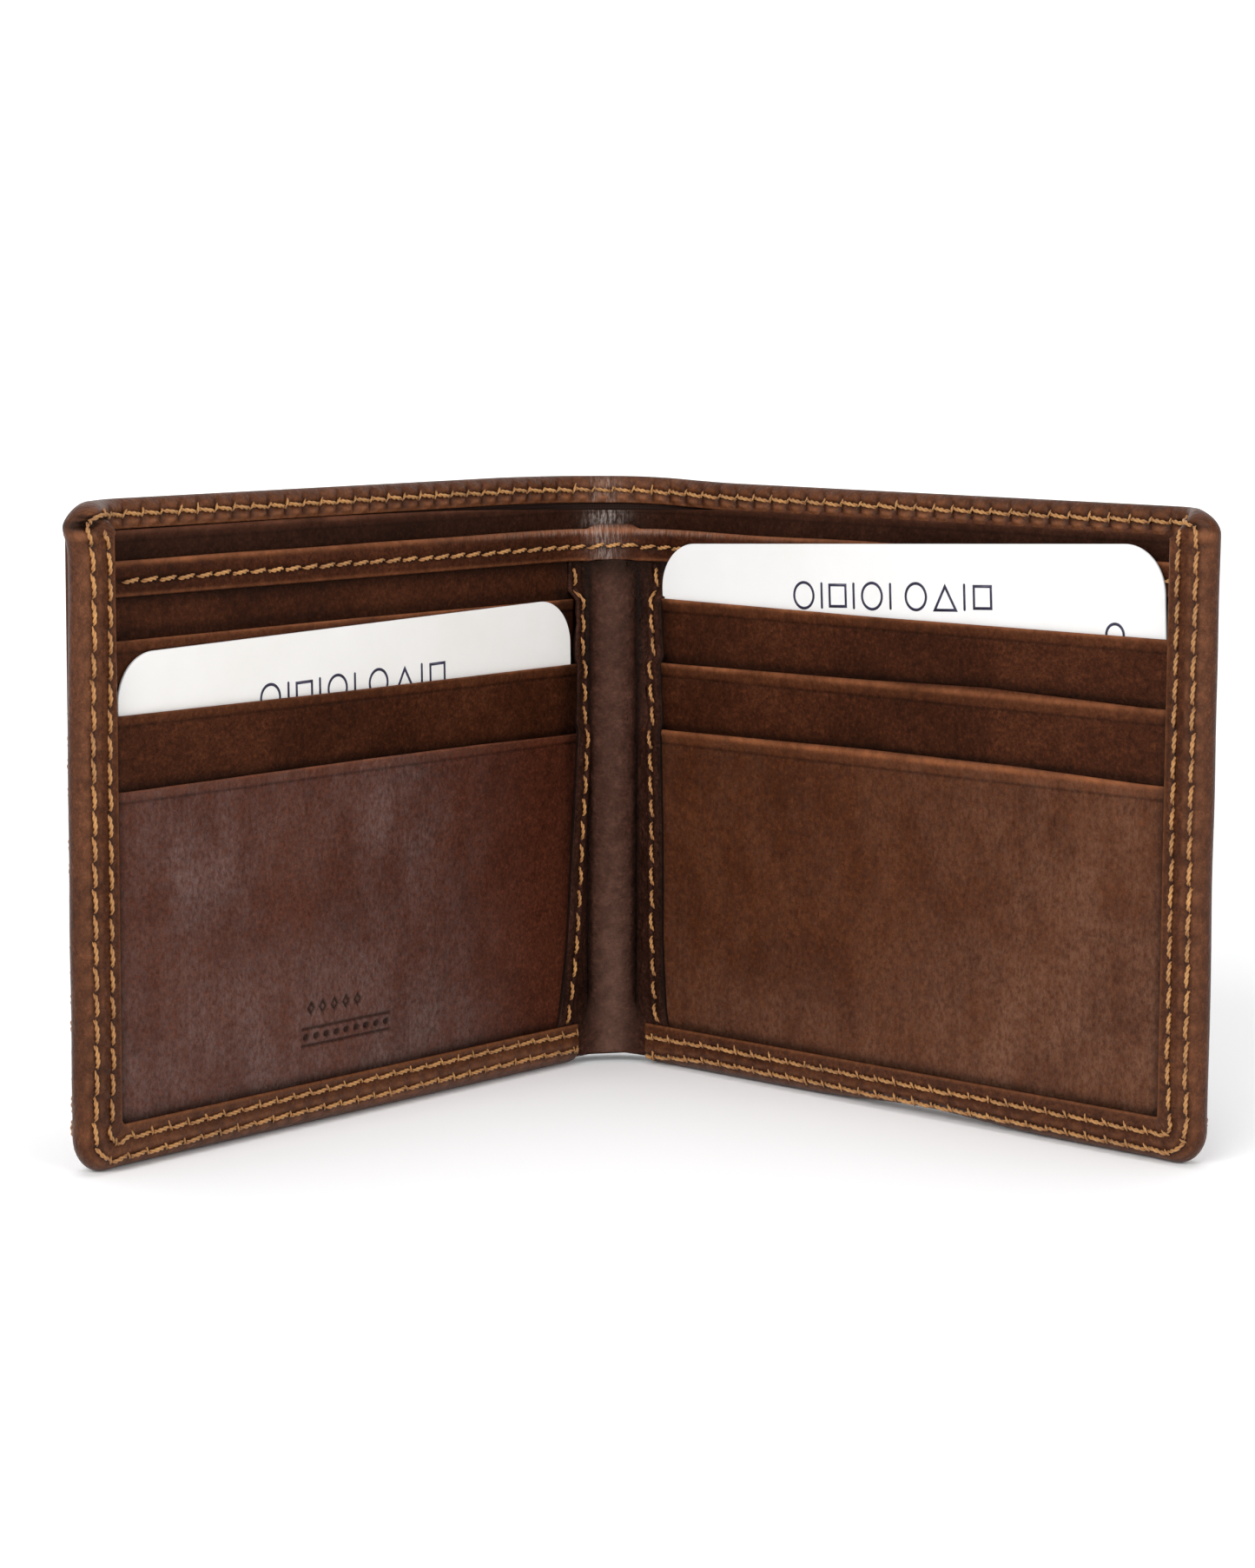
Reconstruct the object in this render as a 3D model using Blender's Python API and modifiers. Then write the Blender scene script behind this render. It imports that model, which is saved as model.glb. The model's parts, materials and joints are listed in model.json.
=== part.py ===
"""Bifold leather wallet, standing half open. Metres, +Z up, inside facing -Y.

Each half is laid out in its own coordinates, in millimetres:
  u  distance from the fold axis, outwards along the half
  v  height above the bottom edge
  m  depth through the stack of layers, 0 at the outside of the cover
"""
import math

import bmesh
import bpy

MM = 0.001

# ---- overall size ----
HEIGHT = 90.0            # bottom edge to top edge of the cover
HALF_LENGTH = 110.2      # fold axis to the outer edge of a half
STACK = 6.4              # cover's outside to the border's front
FACE_CLEARANCE = 0.6     # border front to the plane through the fold axis
HALF_ANGLE = 47.9        # each half from the X axis, degrees
CORNER_R = 5.0           # outer corners of the cover

# ---- gentle bend of the cover at the spine ----
BEND_START_U = 9.0       # where a half stops being flat
SPINE_COVER_X = 6.2      # half width of the middle piece of cover
COVER_GAP_X = 6.7        # where the half's cover starts
SPINE_INNER_X = 6.0      # half width of the middle piece of the inner layers
INNER_GAP_X = 6.6        # where the half's inner layers start

# ---- layers, depth range in mm ----
COVER_M = (0.0, 1.0)
COVER_LINING_M = (1.05, 1.25)
HEM_M = (1.1, 1.8)
DIVIDER_M = (1.6, 1.9)
INNER_PANEL_M = (2.15, 2.65)
BAND_M = (2.7, 3.0)
BACK_CARD_M = (3.35, 3.75)
BACK_FACING_M = (3.85, 4.25)
BACK_LINING_M = (3.85, 4.05)
MIDDLE_CARD_M = (4.37, 4.77)
MIDDLE_FACING_M = (4.87, 5.27)
MIDDLE_LINING_M = (4.87, 5.07)
FRONT_PANEL_M = (5.35, 5.75)
BORDER_M = (5.8, 6.4)
SPINE_EDGE_M = (5.8, 6.3)

# ---- heights of the edges ----
SPINE_BOTTOM_V = 1.0
LAYER_BOTTOM_V = 1.25
BORDER_HEIGHT = 6.4
FRONT_PANEL_V = 51.9
MIDDLE_FACING_V = (45.0, 62.1)
MIDDLE_LINING_V = (10.5, 44.9)
BACK_FACING_V = (55.0, 71.8)
BACK_LINING_V = (20.5, 54.9)
BAND_V = (77.5, 82.1)
DIVIDER_V = 84.5
HEM_V = 85.9
HEM_STITCH_V = 87.8
BAND_STITCH_V = 79.6

# ---- positions along a half ----
SIDE_BORDER_U = 103.6
WALL = 1.1
LAYER_END_U = 108.9
LAYER_CORNER_R = 3.8
POCKET_START_U = 7.0
STRIP_HALF_X = 4.0
STRIP_RISE = 2.2
STRIP_THICKNESS = 0.8
SPINE_EDGE_U = (6.6, 9.6)
SPINE_STITCH_U = 8.0

# ---- border stitching, distance in from the outer edge ----
OUTER_ROW = 1.8
INNER_ROW = 4.8
ROW_RADIUS = 3.0
THREAD_WIDTH = 0.6
THREAD_M = (6.42, 6.8)
SPINE_THREAD_M = (6.32, 6.7)
HEM_THREAD_M = (1.83, 2.1)
BAND_THREAD_M = (3.02, 3.26)
STITCH_START_U = 11.0

# ---- cards ----
CARD_SIZE = (94.2, 57.5)
CARD_R = 6.5
LEFT_CARD = (55.44, 41.95, -1.25)    # centre u, centre v, tilt in degrees
RIGHT_CARD = (57.17, 53.55, 2.75)

AXIS_TO_FRONT = HALF_LENGTH * math.sin(math.radians(HALF_ANGLE))
FACE_N = -FACE_CLEARANCE
OUTER_N = FACE_N - STACK
THETA = math.radians(HALF_ANGLE)
BEND_N = (BEND_START_U * math.cos(THETA) - OUTER_N * math.sin(THETA)) / math.sin(THETA) + OUTER_N
BEND_R = BEND_N - OUTER_N
BEND_CENTRE_Y = -BEND_N * math.cos(THETA) - BEND_START_U * math.sin(THETA)
BACK_Y = BEND_CENTRE_Y + BEND_R
FRONT_Y = -AXIS_TO_FRONT - FACE_N * math.cos(THETA)
AXIS_Y = -(BACK_Y + FRONT_Y) / 2

LEATHER = (0.115, 0.038, 0.022)
LEATHER_WARM = (0.16, 0.055, 0.025)
FABRIC = (0.05, 0.03, 0.025)
THREAD = (0.55, 0.30, 0.09)
CARD = (0.86, 0.86, 0.85)

for old in list(bpy.data.objects):
    bpy.data.objects.remove(old, do_unlink=True)

wallet = bpy.data.collections.new("bifold_wallet")
bpy.context.scene.collection.children.link(wallet)
cutters = bpy.data.collections.new("wallet_cutters")
bpy.context.scene.collection.children.link(cutters)


def material(name, colour, roughness):
    mat = bpy.data.materials.new(name)
    mat.use_nodes = True
    shader = mat.node_tree.nodes["Principled BSDF"]
    shader.inputs["Base Color"].default_value = (*colour, 1.0)
    shader.inputs["Roughness"].default_value = roughness
    return mat


def axis_empty(name, turn):
    """An empty on the fold axis that carries one body."""
    empty = bpy.data.objects.new(name, None)
    empty.location = (0.0, AXIS_Y * MM, 0.0)
    empty.rotation_euler = (0.0, 0.0, turn)
    wallet.objects.link(empty)
    return empty


LEFT = axis_empty("left_half_axis", math.pi + THETA)
RIGHT = axis_empty("right_half_axis", -THETA)
SPINE = axis_empty("spine_axis", 0.0)


def extruded(name, outline, depth):
    """A closed solid: a flat outline in X and Y, extruded equally both ways in Z."""
    curve = bpy.data.curves.new(name, "CURVE")
    curve.dimensions = "2D"
    curve.fill_mode = "BOTH"
    curve.extrude = depth / 2 * MM
    spline = curve.splines.new("POLY")
    spline.points.add(len(outline) - 1)
    for point, (x, y) in zip(spline.points, outline):
        point.co = (x * MM, y * MM, 0.0, 1.0)
    spline.use_cyclic_u = True
    sketch = bpy.data.objects.new(name + "_outline", curve)
    bpy.context.scene.collection.objects.link(sketch)
    graph = bpy.context.evaluated_depsgraph_get()
    mesh = bpy.data.meshes.new_from_object(sketch.evaluated_get(graph))
    bpy.data.objects.remove(sketch, do_unlink=True)
    mesh.name = name
    body = bmesh.new()
    body.from_mesh(mesh)
    bmesh.ops.remove_doubles(body, verts=body.verts, dist=1e-6)
    bmesh.ops.recalc_face_normals(body, faces=body.faces)
    body.to_mesh(mesh)
    body.free()
    return mesh


def add(name, mesh, parent, location, colour, roughness, rotation=(0.0, 0.0, 0.0), bevel=0.0):
    obj = bpy.data.objects.new(name, mesh)
    obj.parent = parent
    obj.location = tuple(c * MM for c in location)
    obj.rotation_euler = rotation
    wallet.objects.link(obj)
    mesh.materials.clear()
    mesh.materials.append(material(name, colour, roughness))
    if bevel > 0.0:
        edge = obj.modifiers.new("edge", "BEVEL")
        edge.width = bevel * MM
        edge.segments = 2
        edge.limit_method = "ANGLE"
        edge.angle_limit = math.radians(50)
    return obj


def depth_y(side, m):
    """A half's local Y for a depth m; the two halves mirror each other."""
    return -side * (OUTER_N + m)


def parent_of(side):
    return RIGHT if side > 0 else LEFT


def label(side, part):
    return ("right_" if side > 0 else "left_") + part


def rounded_outline(u0, u1, v0, v1, radii):
    """Rectangle with a radius for each corner: low, right, top and left order."""
    centres = [(u0, v0, 180.0), (u1, v0, 270.0), (u1, v1, 0.0), (u0, v1, 90.0)]
    points = []
    for (u, v, start), r in zip(centres, radii):
        if r <= 0.0:
            points.append((u, v))
            continue
        cu = u + r if u == u0 else u - r
        cv = v + r if v == v0 else v - r
        for step in range(7):
            a = math.radians(start + 15.0 * step)
            points.append((cu + r * math.cos(a), cv + r * math.sin(a)))
    return points


def flat_plate(side, part, u_range, v_range, m_range, colour, roughness, radii=(0, 0, 0, 0), bevel=0.0):
    """A flat layer of a half, drawn in u and v and given its thickness in m."""
    uc = sum(u_range) / 2
    vc = sum(v_range) / 2
    half_u = (u_range[1] - u_range[0]) / 2
    half_v = (v_range[1] - v_range[0]) / 2
    outline = rounded_outline(-half_u, half_u, -half_v, half_v, radii)
    mesh = extruded(label(side, part), outline, m_range[1] - m_range[0])
    where = (uc, depth_y(side, sum(m_range) / 2), vc)
    return add(label(side, part), mesh, parent_of(side), where, colour, roughness,
               (math.pi / 2, 0.0, 0.0), bevel)


def bend_points(m, x_start, steps=6):
    """Points of one face of a layer from near the spine to where the half turns flat."""
    rho = BEND_R - m
    far = THETA - math.asin(x_start / rho)
    points = []
    for i in range(steps + 1):
        a = far * (1 - i / steps)
        points.append((BEND_START_U - rho * math.sin(a), BEND_N - rho * math.cos(a)))
    return points


def bent_layer(side, part, x_start, u_end, v_range, m_range, colour, roughness, corner=False):
    """A layer that follows the bend near the spine, then runs flat to u_end."""
    outside = bend_points(m_range[0], x_start)
    inside = bend_points(m_range[1], x_start)
    outside.append((u_end, OUTER_N + m_range[0]))
    inside.append((u_end, OUTER_N + m_range[1]))
    section = outside + inside[::-1]
    outline = [(u, -side * n) for u, n in section]
    height = v_range[1] - v_range[0]
    mesh = extruded(label(side, part), outline, height)
    obj = add(label(side, part), mesh, parent_of(side), (0, 0, sum(v_range) / 2), colour, roughness)
    if corner:
        round_corners(obj, u_end, LAYER_CORNER_R, bottom_only=True)
    return obj


def spine_layer(part, x_half, v_range, m_range, colour, roughness, steps=8):
    """The middle piece of a layer, an arc centred on the plane of symmetry."""
    section = []
    for m, direction in ((m_range[0], 1), (m_range[1], -1)):
        rho = BEND_R - m
        far = math.asin(x_half / rho)
        for i in range(steps + 1):
            a = direction * far * (2 * i / steps - 1)
            section.append((rho * math.sin(a), BEND_CENTRE_Y + rho * math.cos(a)))
    mesh = extruded("spine_" + part, section, v_range[1] - v_range[0])
    return add("spine_" + part, mesh, SPINE, (0, 0, sum(v_range) / 2), colour, roughness)


def round_corners(obj, u_limit, radius, bottom_only=False):
    """Round the outer corners by bevelling the short edges there."""
    mesh = obj.data
    weights = mesh.attributes.new("bevel_weight_edge", "FLOAT", "EDGE")
    zs = [v.co.z for v in mesh.vertices]
    for edge in mesh.edges:
        a, b = (mesh.vertices[i].co for i in edge.vertices)
        at_end = min(a.x, b.x) > (u_limit - 0.01) * MM
        same_height = abs(a.z - b.z) < 1e-7
        at_corner = a.z < min(zs) + 1e-7 or (a.z > max(zs) - 1e-7 and not bottom_only)
        if at_end and same_height and at_corner:
            weights.data[edge.index].value = 1.0
    corner = obj.modifiers.new("corner", "BEVEL")
    corner.width = radius * MM
    corner.segments = 6
    corner.limit_method = "WEIGHT"


def row_path(inset, width):
    """Outline of a stitch row that runs down the side and along the bottom."""
    outer = inset - width / 2
    inner = inset + width / 2
    top = HEIGHT - 3.0
    points = [(STITCH_START_U, outer)]
    centre_u = HALF_LENGTH - inset - ROW_RADIUS
    centre_v = inset + ROW_RADIUS
    for step in range(5):
        a = math.radians(-90.0 + 22.5 * step)
        r = ROW_RADIUS + width / 2
        points.append((centre_u + r * math.cos(a), centre_v + r * math.sin(a)))
    points.append((HALF_LENGTH - outer, top))
    points.append((HALF_LENGTH - inner, top))
    for step in range(5):
        a = math.radians(0.0 - 22.5 * step)
        r = ROW_RADIUS - width / 2
        points.append((centre_u + r * math.cos(a), centre_v + r * math.sin(a)))
    points.append((STITCH_START_U, inner))
    return points


def side_border(side):
    """The turned edge: a wall beside the layers and a flap over them, open at the top."""
    wall_m = (COVER_M[1] + 0.05, BORDER_M[1])
    edge = (SIDE_BORDER_U, HALF_LENGTH)
    block = flat_plate(side, "side_border", edge, (0, HEIGHT), wall_m, LEATHER, 0.5,
                       (0, CORNER_R, CORNER_R, 0))
    inner_r = CORNER_R - WALL
    cutter = flat_plate(side, "side_border_hollow", (edge[0] - 4, edge[1] - WALL),
                        (WALL, HEIGHT + 2), (0, BORDER_M[0]), LEATHER, 0.5,
                        (0, inner_r, 0, 0))
    wallet.objects.unlink(cutter)
    cutters.objects.link(cutter)
    cutter.hide_render = True
    cutter.display_type = "WIRE"
    cut = block.modifiers.new("hollow", "BOOLEAN")
    cut.operation = "DIFFERENCE"
    cut.solver = "EXACT"
    cut.object = cutter
    return block


def bottom_border(side):
    """The same section turned to run along the bottom edge."""
    u0 = SPINE_EDGE_U[1] - 0.5
    u1 = SIDE_BORDER_U - 0.1
    section = [
        (0.0, COVER_M[1] + 0.05),
        (WALL, COVER_M[1] + 0.05),
        (WALL, BORDER_M[0]),
        (BORDER_HEIGHT, BORDER_M[0]),
        (BORDER_HEIGHT, BORDER_M[1]),
        (0.0, BORDER_M[1]),
    ]
    outline = [(-v, depth_y(side, m)) for v, m in section]
    name = label(side, "bottom_border")
    mesh = extruded(name, outline, u1 - u0)
    return add(name, mesh, parent_of(side), ((u0 + u1) / 2, 0, 0), LEATHER, 0.5,
               (0.0, math.pi / 2, 0.0))


def stitch_row(side, part, inset):
    name = label(side, part)
    mesh = extruded(name, row_path(inset, THREAD_WIDTH), THREAD_M[1] - THREAD_M[0])
    where = (0, depth_y(side, sum(THREAD_M) / 2), 0)
    return add(name, mesh, parent_of(side), where, THREAD, 0.6, (math.pi / 2, 0.0, 0.0))


def thread_span(v):
    return (v - THREAD_WIDTH / 2, v + THREAD_WIDTH / 2)


def card(side, placing, m_range):
    u, v, tilt = placing
    half_w = CARD_SIZE[0] / 2
    half_h = CARD_SIZE[1] / 2
    outline = rounded_outline(-half_w, half_w, -half_h, half_h, (CARD_R,) * 4)
    name = label(side, "card")
    mesh = extruded(name, outline, m_range[1] - m_range[0])
    where = (u, depth_y(side, sum(m_range) / 2), v)
    return add(name, mesh, parent_of(side), where, CARD, 0.35,
               (math.pi / 2, -math.radians(tilt), 0.0))


for s in (-1, 1):
    # outer cover with its lining and turned hem
    cover = bent_layer(s, "cover", COVER_GAP_X, HALF_LENGTH, (0, HEIGHT), COVER_M, LEATHER, 0.5)
    round_corners(cover, HALF_LENGTH, CORNER_R)
    bent_layer(s, "cover_lining", COVER_GAP_X, LAYER_END_U, (LAYER_BOTTOM_V, HEM_V - 0.2),
               COVER_LINING_M, FABRIC, 0.85, corner=True)
    bent_layer(s, "top_hem", COVER_GAP_X, SIDE_BORDER_U - 0.1, (HEM_V, HEIGHT - 0.1), HEM_M, LEATHER, 0.5)
    bent_layer(s, "hem_stitch", COVER_GAP_X, SIDE_BORDER_U - 1, thread_span(HEM_STITCH_V),
               HEM_THREAD_M, THREAD, 0.6)

    # note compartment: divider and the inner panel with its top band
    bent_layer(s, "note_divider", COVER_GAP_X, LAYER_END_U, (LAYER_BOTTOM_V, DIVIDER_V),
               DIVIDER_M, LEATHER, 0.6, corner=True)
    bent_layer(s, "inner_panel", INNER_GAP_X, LAYER_END_U, (LAYER_BOTTOM_V, BAND_V[1]),
               INNER_PANEL_M, LEATHER, 0.5, corner=True)
    bent_layer(s, "top_band", INNER_GAP_X, SIDE_BORDER_U - 0.4, BAND_V, BAND_M, LEATHER, 0.5)
    bent_layer(s, "band_stitch", INNER_GAP_X, SIDE_BORDER_U - 1, thread_span(BAND_STITCH_V),
               BAND_THREAD_M, THREAD, 0.6)

    # card pockets
    layer_u = (POCKET_START_U, LAYER_END_U)
    flat_plate(s, "back_pocket_facing", layer_u, BACK_FACING_V, BACK_FACING_M, LEATHER, 0.5)
    flat_plate(s, "back_pocket_lining", layer_u, BACK_LINING_V, BACK_LINING_M, FABRIC, 0.85)
    flat_plate(s, "middle_pocket_facing", layer_u, MIDDLE_FACING_V, MIDDLE_FACING_M, LEATHER, 0.5)
    flat_plate(s, "middle_pocket_lining", layer_u, MIDDLE_LINING_V, MIDDLE_LINING_M, FABRIC, 0.85)
    flat_plate(s, "front_panel", layer_u, (LAYER_BOTTOM_V, FRONT_PANEL_V), FRONT_PANEL_M,
               LEATHER_WARM, 0.45, (0, LAYER_CORNER_R, 0, 0))

    # turned border, the strip's stitched edge, and their thread
    side_border(s)
    bottom_border(s)
    flat_plate(s, "spine_edge", SPINE_EDGE_U, (BORDER_HEIGHT + 0.2, BAND_V[0] - 0.3), SPINE_EDGE_M,
               LEATHER, 0.55)
    flat_plate(s, "spine_edge_stitch", thread_span(SPINE_STITCH_U),
               (BORDER_HEIGHT + 1, BAND_V[0] - 1), SPINE_THREAD_M, THREAD, 0.6)
    stitch_row(s, "outer_stitch", OUTER_ROW)
    stitch_row(s, "inner_stitch", INNER_ROW)

# middle pieces, which take half of the fold each way
spine_layer("cover", SPINE_COVER_X, (SPINE_BOTTOM_V, HEIGHT), COVER_M, LEATHER, 0.5)
spine_layer("cover_lining", SPINE_COVER_X, (LAYER_BOTTOM_V, HEM_V - 0.2), COVER_LINING_M, FABRIC, 0.85)
spine_layer("top_hem", SPINE_COVER_X, (HEM_V, HEIGHT - 0.1), HEM_M, LEATHER, 0.5)
spine_layer("hem_stitch", SPINE_COVER_X, thread_span(HEM_STITCH_V), HEM_THREAD_M, THREAD, 0.6)
spine_layer("note_divider", SPINE_COVER_X, (LAYER_BOTTOM_V, DIVIDER_V), DIVIDER_M, LEATHER, 0.6)
spine_layer("inner_panel", SPINE_INNER_X, (LAYER_BOTTOM_V, BAND_V[1]), INNER_PANEL_M, LEATHER, 0.5)
spine_layer("top_band", SPINE_INNER_X, BAND_V, BAND_M, LEATHER, 0.5)
spine_layer("band_stitch", SPINE_INNER_X, thread_span(BAND_STITCH_V), BAND_THREAD_M, THREAD, 0.6)


def spine_strip():
    """Soft strip between the pocket blocks, bulging towards the inside."""
    radius = (STRIP_HALF_X ** 2 + STRIP_RISE ** 2) / (2 * STRIP_RISE)
    far = math.asin(STRIP_HALF_X / radius)
    centre = BACK_Y - BAND_M[0] - 1.6 - STRIP_RISE + radius
    section = []
    for r, direction in ((radius, 1), (radius - STRIP_THICKNESS, -1)):
        for i in range(9):
            a = direction * far * (2 * i / 8 - 1)
            section.append((r * math.sin(a), centre - r * math.cos(a)))
    height = BAND_V[0] - 0.3 - SPINE_BOTTOM_V
    mesh = extruded("spine_strip", section, height)
    add("spine_strip", mesh, SPINE, (0, 0, SPINE_BOTTOM_V + height / 2), LEATHER, 0.55)


spine_strip()
card(-1, LEFT_CARD, MIDDLE_CARD_M)
card(1, RIGHT_CARD, BACK_CARD_M)
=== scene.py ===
import json
import math

import bmesh
import bpy
import numpy as np
from mathutils import Matrix, Vector


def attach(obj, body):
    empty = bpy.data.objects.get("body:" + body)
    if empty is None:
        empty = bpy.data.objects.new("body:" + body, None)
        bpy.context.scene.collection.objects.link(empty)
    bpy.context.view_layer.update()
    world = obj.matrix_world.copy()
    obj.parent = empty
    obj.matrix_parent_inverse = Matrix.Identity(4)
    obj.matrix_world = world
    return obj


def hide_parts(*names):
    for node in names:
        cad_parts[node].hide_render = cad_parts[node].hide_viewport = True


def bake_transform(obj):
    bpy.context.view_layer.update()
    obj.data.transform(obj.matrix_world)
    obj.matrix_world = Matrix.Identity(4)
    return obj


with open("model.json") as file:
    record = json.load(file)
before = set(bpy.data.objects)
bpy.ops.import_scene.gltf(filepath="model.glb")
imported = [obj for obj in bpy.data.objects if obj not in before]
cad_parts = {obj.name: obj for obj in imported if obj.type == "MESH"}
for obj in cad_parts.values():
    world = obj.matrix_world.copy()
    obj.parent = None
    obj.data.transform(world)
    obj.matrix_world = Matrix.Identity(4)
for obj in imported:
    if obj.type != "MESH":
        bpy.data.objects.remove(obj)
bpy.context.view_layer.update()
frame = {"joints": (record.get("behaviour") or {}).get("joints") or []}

MM = 0.001

# ---------------- layout, in mm
# s runs along the cover from the spine, u outwards from the fold axis, v is height
# and m is depth through the layers from the outside of the cover.
FOLD = next(j for j in frame["joints"] if j["name"] == "cover_fold")
AXIS_Y = FOLD["pos_m"][1] / MM
THETA = math.radians(47.9)
SIN, COS = math.sin(THETA), math.cos(THETA)
OUTER_N = -7.0
BEND_U = 9.0
BEND_R = (BEND_U * COS - OUTER_N * SIN) / SIN
BEND_Y = -(BEND_R + OUTER_N) * COS - BEND_U * SIN
S_FLAT = BEND_R * THETA          # s where the cover turns flat
S_OF_U = S_FLAT - BEND_U         # s = u + S_OF_U outside the bend
HEIGHT = 90.0
HALF = 110.2                     # u of the outer edge
SIDE_U = 103.6                   # u of the side border's inner edge
BOTTOM_V = 6.4                   # v of the bottom border's inner edge
HEM_V = 85.9
LAYER_U = 106.6
PITCH = 3.5                      # stitch length
FRONT_V, MIDDLE_V, BACK_V = 51.9, 62.1, 71.8
BAND_V = (77.1, 81.75)
BAND_ROW_V = 79.35
RIGHT_WIDER = 0.85               # how much wider the right border is
# depth of each layer's back, and the band's thickness
LINING_M, DIVIDER_M, PANEL_M, BAND_M, MIDDLE_M, FRONT_M = 1.03, 1.55, 2.15, 2.62, 4.75, 5.3
BAND_T = 0.62
NO_ROW = 9.0                     # stands for the second row's place where the border has one row
rng = np.random.default_rng(7)


def smooth(x, a, b):
    t = np.clip((x - a) / (b - a), 0.0, 1.0)
    return t * t * (3 - 2 * t)


def gauss(x, width):
    return np.exp(-(x / width) ** 2)


def squeezed(u, m, inner=False):
    """Depth after the sewing at the side edge has pressed the layers together."""
    back = 2.1 * smooth(u, 101.0, HALF)
    if inner:
        back = back * smooth(u, 103.2, 106.0)
    return m + back * (1 - m / 6.4)


def flat_place(side, u, v, m, squeeze="inner"):
    """World mm for a point of a half; u, v, m may be arrays."""
    if squeeze:
        m = squeezed(u, m, squeeze == "inner")
    n = m + OUTER_N
    x = side * (u * COS - n * SIN)
    y = AXIS_Y - u * SIN - n * COS
    return np.stack(np.broadcast_arrays(x, y, v), axis=-1)


def place(s, v, m, squeeze="outer"):
    """World mm for a point of a layer that runs through the spine."""
    s, v, m = np.broadcast_arrays(np.asarray(s, float), np.asarray(v, float), np.asarray(m, float))
    m = squeezed(np.abs(s) - S_OF_U, m, squeeze == "inner")
    side = np.where(s < 0, -1.0, 1.0)
    a = np.minimum(np.abs(s) / BEND_R, THETA)
    rho = BEND_R - m
    u = np.abs(s) - S_OF_U
    n = m + OUTER_N
    bent = np.abs(s) < S_FLAT
    x = np.where(bent, rho * np.sin(a), u * COS - n * SIN)
    y = np.where(bent, BEND_Y + rho * np.cos(a), -u * SIN - n * COS)
    return np.stack([side * x, AXIS_Y + y, v], axis=-1)


def wobble(x, y, seed, scale):
    """A smooth, repeatable bumpy field, about -1 to 1."""
    r = np.random.default_rng(seed)
    total = 0.0
    for k in range(7):
        ang = r.uniform(0, 2 * math.pi)
        f = r.uniform(0.6, 1.7) / scale
        total = total + np.sin(2 * math.pi * f * (x * math.cos(ang) + y * math.sin(ang)) + r.uniform(0, 6.28))
    return total / 4.0


# ---------------- node helpers
def add_to_scene(name, data):
    obj = bpy.data.objects.new(name, data)
    bpy.context.scene.collection.objects.link(obj)
    return obj


def new_material(name):
    mat = bpy.data.materials.new(name)
    mat.use_nodes = True
    nt = mat.node_tree
    return mat, nt, nt.nodes["Principled BSDF"]


def link(nt, a, b):
    nt.links.new(a, b)


def node(nt, kind, **props):
    n = nt.nodes.new(kind)
    for k, val in props.items():
        setattr(n, k, val)
    return n


def put(n, **values):
    """Set a node's inputs by name, with _ for a space."""
    for name, value in values.items():
        n.inputs[name.replace("_", " ")].default_value = value


def feed(nt, target, value):
    """Give an input a link, a colour or a number."""
    if isinstance(value, bpy.types.NodeSocket):
        link(nt, value, target)
    else:
        target.default_value = (*value, 1.0) if isinstance(value, tuple) else value


def mapped(nt, scale=(1, 1, 1), source="UV"):
    mapping = node(nt, "ShaderNodeMapping")
    put(mapping, Scale=scale)
    link(nt, node(nt, "ShaderNodeTexCoord").outputs[source], mapping.inputs["Vector"])
    return mapping.outputs["Vector"]


def noise(nt, vec, scale, detail, rough, distort=0.0):
    n = node(nt, "ShaderNodeTexNoise")
    put(n, Scale=scale, Detail=detail, Roughness=rough, Distortion=distort)
    link(nt, vec, n.inputs["Vector"])
    return n.outputs["Fac"]


def ramp(nt, fac, stops):
    n = node(nt, "ShaderNodeValToRGB")
    els = n.color_ramp.elements
    while len(els) < len(stops):
        els.new(0.5)
    for el, (pos, col) in zip(els, stops):
        el.position = pos
        el.color = (*col, 1.0)
    link(nt, fac, n.inputs["Fac"])
    return n.outputs["Color"]


def remap(nt, fac, a, b, lo, hi):
    n = node(nt, "ShaderNodeMapRange")
    put(n, From_Min=a, From_Max=b, To_Min=lo, To_Max=hi)
    link(nt, fac, n.inputs["Value"])
    return n.outputs["Result"]


def attribute(nt, name):
    return node(nt, "ShaderNodeAttribute", attribute_name=name).outputs["Fac"]


def mix(nt, fac, a, b, mode="MIX"):
    """Colour mix; fac, a and b are sockets or constants."""
    n = node(nt, "ShaderNodeMix", data_type="RGBA", blend_type=mode)
    for index, value in ((0, fac), (6, a), (7, b)):
        feed(nt, n.inputs[index], value)
    return n.outputs[2]


def maths(nt, op, a, b):
    n = node(nt, "ShaderNodeMath", operation=op)
    feed(nt, n.inputs[0], a)
    feed(nt, n.inputs[1], b)
    return n.outputs[0]


def bump(nt, bsdf, height, strength, distance):
    n = node(nt, "ShaderNodeBump")
    put(n, Strength=strength, Distance=distance)
    link(nt, height, n.inputs["Height"])
    link(nt, n.outputs[0], bsdf.inputs["Normal"])


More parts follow.
